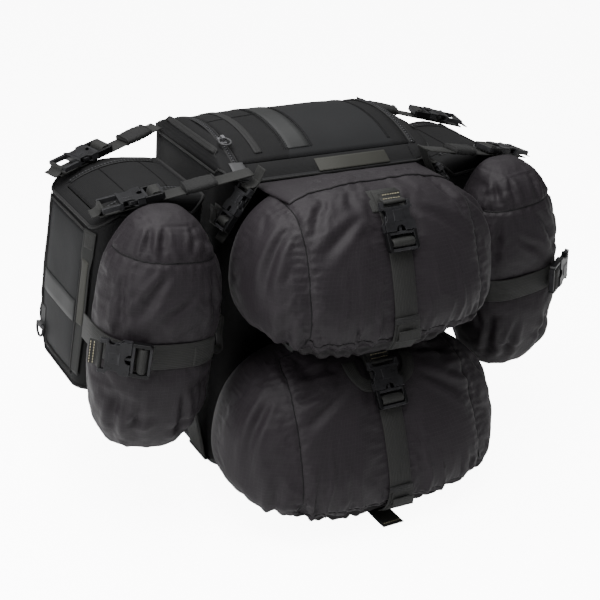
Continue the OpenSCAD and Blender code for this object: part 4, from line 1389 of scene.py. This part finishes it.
def pouch_bridge(pouch, surface):
    """The gusset that joins the yoke's front edge to the top of the upper pouch."""
    yoke_low, yoke_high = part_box("front_yoke")
    shell_low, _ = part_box("centre_shell")
    rows, columns = 16, 61
    points, weave = [], []
    for r in range(rows):
        t = r / (rows - 1)
        for c in range(columns):
            u = 2 * c / (columns - 1) - 1
            a = Vector((u * yoke_high.x * 0.98, shell_low.y - 2.2 * MM, yoke_low.z + 30 * MM))
            aim = Vector((u * 156 * MM, -24 * MM, pouch.half_height * 1.02))
            b, normal = surface.nearest(pouch.centre + aim)
            middle = (a + b) / 2 + Vector((0, 0, 11 * MM * (1 - u ** 6)))
            p = a * (1 - t) ** 2 + middle * 2 * t * (1 - t) + (b + normal * 0.6 * MM) * t ** 2
            pleat = soft_noise([(p.x, p.y * 0.25, 0)], 0.022, 31.0)[0]
            p.z += pleat * 2.4 * MM * math.sin(math.pi * t)
            points.append(p)
            weave.append((p.x, -p.y, 0))
    sheet = keep_weave(mesh_piece("upper_bridge_cloth", points, grid_faces(rows, columns), "ripstop"), weave)
    seam = cord_tube("upper_bridge_seam", points[-columns:], 0.9 * MM, "thread", sides=6)
    thicken(sheet, 1.0 * MM)
    ride_all([sheet, seam])


# ---------------------------------------------------------------- the panniers
def pannier(side, sign):
    low, high = hung_box("right_shell")
    lid_low, lid_high = hung_box("right_lid")
    front, rear, inner, outer, foot = low.y, high.y, low.x, high.x, low.z
    top = max(high.z, lid_high.z)
    dome_in = 44 * MM
    dome_out = outer - inner - dome_in
    dome_r = arc_radius(dome_out, 52 * MM)
    dome_x, dome_z = inner + dome_in, top - dome_r
    edge = 26 * MM

    def crown(x, y):
        arc = dome_z + math.sqrt(max(0.0, dome_r ** 2 - (x - dome_x) ** 2))
        over = max(0.0, front + edge - y, y - (rear - edge))
        return min(arc, top - edge + math.sqrt(max(0.0, edge ** 2 - over ** 2)))

    def heel(y):
        return foot + 66 * MM * min(1.0, max(0.0, (y - (rear - 56 * MM)) / (56 * MM)))

    window = rounded(lid_low.x - 1 * MM, outer - 14 * MM, front + 40 * MM, rear - 40 * MM, 2 * MM)
    bag = Bag(rounded(inner, outer, front, rear, 24 * MM), window, crown, heel, 3.0 + sign)
    walls = bag.walls(side + "_walls", "nylon", 2 * MM, 4 * MM)
    rim = bag.rim(side + "_rim", "nylon", swell=1.5 * MM)
    base = bag.base(side + "_base", "nylon")
    lid = bag.lid(side + "_lid_cloth", "nylon", 1.0 * MM, 4 * MM)
    skin = Surface(lid)
    moving = [lid]
    low_x = outer - 60 * MM
    for label, x, z in (("seam", dome_x + 4 * MM, top), ("side_seam", low_x, crown(low_x, 0))):
        path = [Vector((x, y, z)) for y in np.linspace(front + 44 * MM, rear - 44 * MM, 24)]
        moving.append(seam_line(f"{side}_lid_{label}", skin, path, lift=0.3 * MM))
    for piece in (walls, rim, base, lid):
        thicken(piece)
    wall_skin = Surface(walls)
    # outer face: coated panel, front band with its inset, reflective stripe and bindings
    panel_low, panel_high = hung_box("right_panel")
    y0, y1, z0, z1 = panel_low.y, panel_high.y, panel_low.z, panel_high.z
    rows, columns = 26, 18
    points, weave = [], []
    for r in range(rows):
        v = r / (rows - 1)
        for c in range(columns):
            u = c / (columns - 1)
            y = y0 + (y1 - y0) * u
            foot_z = z0 + 66 * MM * max(0.0, (y - (y1 - 36 * MM)) / (36 * MM))
            z = foot_z + (z1 - foot_z) * v
            swell = 3.2 * MM * (1 - (2 * u - 1) ** 6) * (1 - (2 * v - 1) ** 8)
            ripple = soft_noise([(0, y, z)], 0.06, 8 + sign)[0] * 0.9 * MM
            points.append((panel_low.x + 1.2 * MM + swell + ripple, y, z))
            weave.append((y, z, 0))
    panel = keep_weave(mesh_piece(side + "_panel_cloth", points, grid_faces(rows, columns), "coated"), weave)
    panel_skin = Surface(panel)
    thicken(panel, 2.4 * MM)
    binding = [Vector((panel_high.x + 2 * MM, y, z)) for y, z in
               ((y0, z0 + 4 * MM), (y0, (z0 + z1) / 2), (y0, z1), ((y0 + y1) / 2, z1), (y1, z1),
                (y1, z0 + 70 * MM), (y1 - 36 * MM, z0 + 2 * MM), ((y0 + y1) / 2, z0 + 1 * MM))]
    edge_cord = cord_tube(side + "_panel_binding", shifted(binding, -2.2 * MM, 0, 0), 2.3 * MM,
                          "binding", 8, closed=True)
    stripe_path = [Vector((panel_high.x + 6 * MM, y, z0 + 99 * MM))
                   for y in np.linspace(y0 + 5 * MM, y1 - 4 * MM, 20)]
    stripe = panel_skin.tape_on(side + "_stripe_tape", stripe_path, 34 * MM, 0.8 * MM, "reflective", 0.3 * MM)
    band_path = [Vector((outer + 5 * MM, front + 20 * MM - 4 * MM * t, z0 + 8 * MM + (z1 - z0 - 4 * MM) * t))
                 for t in (k / 20 for k in range(21))]
    band = wall_skin.tape_on(side + "_band_tape", band_path, 26 * MM, 1.4 * MM, "band", 0.3 * MM)
    inset = wall_skin.tape_on(side + "_band_inset", band_path[7:17], 17 * MM, 0.5 * MM, "inset", 1.9 * MM)
    seam_cords = [seam_line(f"{side}_band_seam_{i}", wall_skin, shifted(band_path, 0, d, 0),
                            lift=0.6 * MM) for i, d in enumerate((-15 * MM, 13 * MM))]
    piping = cord_tube(side + "_piping", [(x, y, crown(x, y) + 0.6 * MM) for x, y in bag.plan], 2.6 * MM,
                       "binding", closed=True)
    hem = cord_tube(side + "_foot_piping", [(x, y, heel(y) + 1 * MM) for x, y in bag.plan], 2.2 * MM,
                    "binding", closed=True)
    patches = []
    for i, y in enumerate((front + 16 * MM, rear - 18 * MM)):
        path = [Vector((outer + 4 * MM, y, crown(outer, y) - 30 * MM + 4 * MM * k)) for k in range(7)]
        patches.append(wall_skin.tape_on(f"{side}_corner_patch_{i}", path, 20 * MM, 1.4 * MM,
                                         "webbing", 0.4 * MM))
    still = [walls, rim, base, panel, edge_cord, stripe, band, inset, piping, hem] + seam_cords + patches
    # zips along the dome, front and rear
    zips = []
    arc = np.linspace(-24 * MM / dome_r, math.asin((dome_out - 20 * MM) / dome_r), 40)
    for label, y in (("front", front + 34 * MM), ("rear", rear - 34 * MM)):
        path = [(dome_x + dome_r * math.sin(a), y, dome_z + dome_r * math.cos(a) + 0.8 * MM) for a in arc]
        zips += zip_line(f"{side}_{label}_zip", [Vector(p) for p in path], (0, 1, 0))
        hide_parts("zip_tapes")
    for piece in still + moving + zips:
        to_side(piece, sign)
    ride_all(still)
    ride_all(moving, side + "_lid")
    for piece, part in ((walls, "shell"), (lid, "lid"), (panel, "panel"), (band, "band")):
        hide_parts(f"{side}_{part}")
    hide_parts("reflectors")


# ---------------------------------------------------------------- straps that link the bags
def grip(name, path, start, length, width, thick):
    """A padded mesh sleeve round a strap, drawn in at its bound ends."""
    spots = resample(path, 2 * MM)
    middle, ahead = [], []
    run = 0.0
    for a, b in zip(spots, spots[1:]):
        run += (b - a).length
        if start <= run <= start + length:
            middle.append(b)
            ahead.append((b - a).normalized())
    points, weave = [], []
    sides = 28
    for i, (p, t) in enumerate(zip(middle, ahead)):
        u = i / (len(middle) - 1)
        full = 0.72 + 0.28 * abs(math.sin(math.pi * u)) ** 0.35 + 0.02 * math.sin(u * 31)
        side = Vector((0, 0, 1)).cross(t).normalized()
        up = t.cross(side)
        for k in range(sides):
            a = 2 * math.pi * k / sides
            x, z = spow(math.cos(a), 0.6) * width / 2 * full, spow(math.sin(a), 0.75) * thick / 2 * full
            points.append(p + side * x + up * (z + 1.5 * MM))
            weave.append((i * 2 * MM, a * width / 4, 0))
    count = len(middle)
    piece = keep_weave(mesh_piece(name, points, tube_faces(count, sides), "grip"), weave)
    return [piece] + [cord_tube(f"{name}_bound_{label}", points[i * sides:(i + 1) * sides], 1.5 * MM,
                                "binding", 6, closed=True) for label, i in (("a", 1), ("b", count - 2))]


LINK_ENDS = {"front": (152 * MM, -152 * MM, 512 * MM), "rear": (189 * MM, 100 * MM, 506 * MM)}


def link_strap(side, sign, label):
    """A link strap with its buckle, its grip and its adjusting tail."""
    name = f"{side}_{label}"
    place = buckle(name, (0, 0, 1), LINK_MOUTH, "link_females")
    x, y, z = LINK_ENDS[label]
    start = place.at(0, 0, 0) - Vector((0, 0, 0.6 * MM)) - place.ahead * 4 * MM - place.out * 2.0 * MM
    path = [start.lerp(Vector((sign * x, y, z)), i / 40) for i in range(41)]
    strap = tape(name + "_strap_tape", path, -place.across, LINK_WEB, TAPE_THICK, "webbing")
    grips = grip(name + "_grip", path, 124 * MM, 50 * MM, 36 * MM, 13 * MM)
    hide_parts("link_grips")
    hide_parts("link_straps")
    loose = ((76, 10.6), (81, 11.6), (85, 11.2), (88, 8.6), (89.5, 4.5))
    tail = local_tape(name + "_tail", place, loose, LINK_WEB - 2 * MM, 1.6 * MM, 6)
    ride_all([strap])
    ride_all([tail], name + "_male")
    ride_all(grips)


def corner_strap(side, sign):
    """The compression strap at a front corner of the centre bag, and the tape that it is sewn to."""
    name = side + "_corner"
    axis = Vector(joints[name + "_buckle_release"]["axis"])
    place = buckle(name, (-sign * axis.z, 0, sign * axis.x), MOUTH, "corner_females")
    path = ((-34, 2), (-20, -0.5), (-3, -1.6), (40, -2.4), (88, -2.4))
    strap = local_tape(name + "_strap_tape", place, path, CORNER_WEB, TAPE_THICK, 6)
    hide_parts("corner_straps")
    low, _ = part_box("corner_straps")
    upright = [(184.6 * MM * sign, -86 * MM, z) for z in np.linspace(low.z + 2 * MM, low.z + 96 * MM, 16)]
    anchor = tape(name + "_anchor_tape", upright, (0, sign, 0), CORNER_WEB, TAPE_THICK, "webbing")
    ride_all([strap, anchor])


# ---------------------------------------------------------------- loose webbing and carried-over nodes
def saddle_straps():
    low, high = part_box("saddle_straps")
    for side, sign in SIDES:
        for label, y in (("front", low.y + 30 * MM), ("rear", high.y - 30 * MM)):
            path = [(10 * MM, 9.4 * MM), (120 * MM, 9.3 * MM), (183 * MM, 9.6 * MM), (189 * MM, 16 * MM),
                    (194 * MM, 40 * MM), (high.x - 12 * MM, high.z * 0.66), (high.x - 1.5 * MM, high.z)]
            path = curve_through([(sign * x, y, z) for x, z in path], 8)
            strap = tape(f"{side}_{label}_saddle_strap", path, (0, -sign, 0), 60 * MM, 2.2 * MM, "webbing")
            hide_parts("saddle_straps")
            rows = []
            for i, d in enumerate((-26, 26)):
                line = shifted(path[30:], sign * 2.6 * MM, d * MM, 0)
                rows.append(stitch_row(f"{side}_{label}_saddle_stitches_{i}", line, (sign, 0, 0), "thread",
                                       radius=0.5 * MM))
            ride_all([strap] + rows)


def hanging_loop(name, x, y, z, radius, drop, sign):
    """A webbing loop that hangs by both its ends."""
    path = [(-1, 0), (-0.8, 0.6 * drop), (-1, drop)]
    path += [(-math.cos(a), drop + radius * math.sin(a)) for a in (math.pi / 4, math.pi / 2, 3 * math.pi / 4)]
    path += [(1, drop), (0.8, 0.6 * drop), (1, 0)]
    places = [Vector((x + sign * radius * aside, y, z - down)) for aside, down in path]
    loop = tape(name, curve_through(places, 5), (0, sign, 0), 20 * MM, 1.7 * MM, "webbing")
    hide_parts("loose_webbing")
    ride_all([loop])


def loose_webbing():
    low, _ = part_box("loose_webbing")
    for side, sign in SIDES:
        hanging_loop(side + "_bag_loop", sign * 194 * MM, -128 * MM, 456 * MM, 5 * MM, 26 * MM, sign)
        hanging_loop(side + "_pouch_loop", sign * 211 * MM, -174 * MM, 302 * MM, 9 * MM, 50 * MM, sign)
    path = [(0, low.y + d * MM, z * MM) for d, z in ((62, 1.0), (46, 0.6), (30, 0.5), (14, 0.6), (0, 1.5))]
    tab = tape("seat_tab", curve_through(path, 5), (1, 0, 0), WIDE_WEB, TAPE_THICK, "webbing")
    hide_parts("loose_webbing")
    ends = [Vector((x * MM, low.y + 6 * MM, 3.4 * MM)) for x in (-15, 15)]
    ride_all([tab, stitch_row("seat_tab_stitches", ends, (0, 0, 1))])


def carry_loop(pouch, surface):
    """The low arc of webbing over the lower pouch's patch."""
    half = ((10.5, 56), (8.5, 47), (5.5, 39), (2.3, 35))
    marks = [(-90 - a, b) for a, b in half] + [(-90, 34)] + [(a - 90, b) for a, b in half[::-1]]
    path = curve_through([pouch.point(a, b) for a, b in marks], 6)
    loop = surface.tape_on("lower_carry_loop", path, 20 * MM, 1.3 * MM, "webbing", 0.6 * MM)
    ride_all([loop])


def repaint():
    """The CAD nodes whose shape stays get finished materials."""
    chosen = {"base_mat": "rubber", "base_board": "board", "centre_liner": "liner", "webbing_tabs": "rubber",
              "zip_slider": "wire", "zip_ring": "puller"}
    for side, _ in SIDES:
        chosen.update({side + "_liner": "liner", side + "_board": "board", side + "_ring": "wire",
                       side + "_slider": "wire"})
    for node, material in chosen.items():
        for place in frame["nodes"][node].material_slots:
            place.material = materials[material]


# ---------------------------------------------------------------- the scene
materials = make_materials()
make_camera()
make_studio()
for name, form, seams, seed, strap, patch in (
        ("upper", (125 * MM, 71 * MM, 0.03, 0.35), (0.135, 0.150), 1.0, (64, -46), (66, 44)),
        ("lower", (135 * MM, 91 * MM, 0.06, 0.42), (0.140, 0.165), 4.0, (64, -50), (66, 46))):
    pouch = wide_pouch(name + "_pouch", *form)
    surface = make_middle_pouch(name, pouch, seams, seed)
    if name == "upper":
        pouch_bridge(pouch, surface)
    place = buckle(name, (0, -1, 0.6), MOUTH, name + "_female")
    front_straps(name, pouch, place, strap, patch)
    if name == "lower":
        carry_loop(pouch, surface)
for side, sign in SIDES:
    side_pouch(side, sign)
centre_bag()
for side, sign in SIDES:
    pannier(side, sign)
    link_strap(side, sign, "front")
    link_strap(side, sign, "rear")
    corner_strap(side, sign)
saddle_straps()
loose_webbing()
repaint()
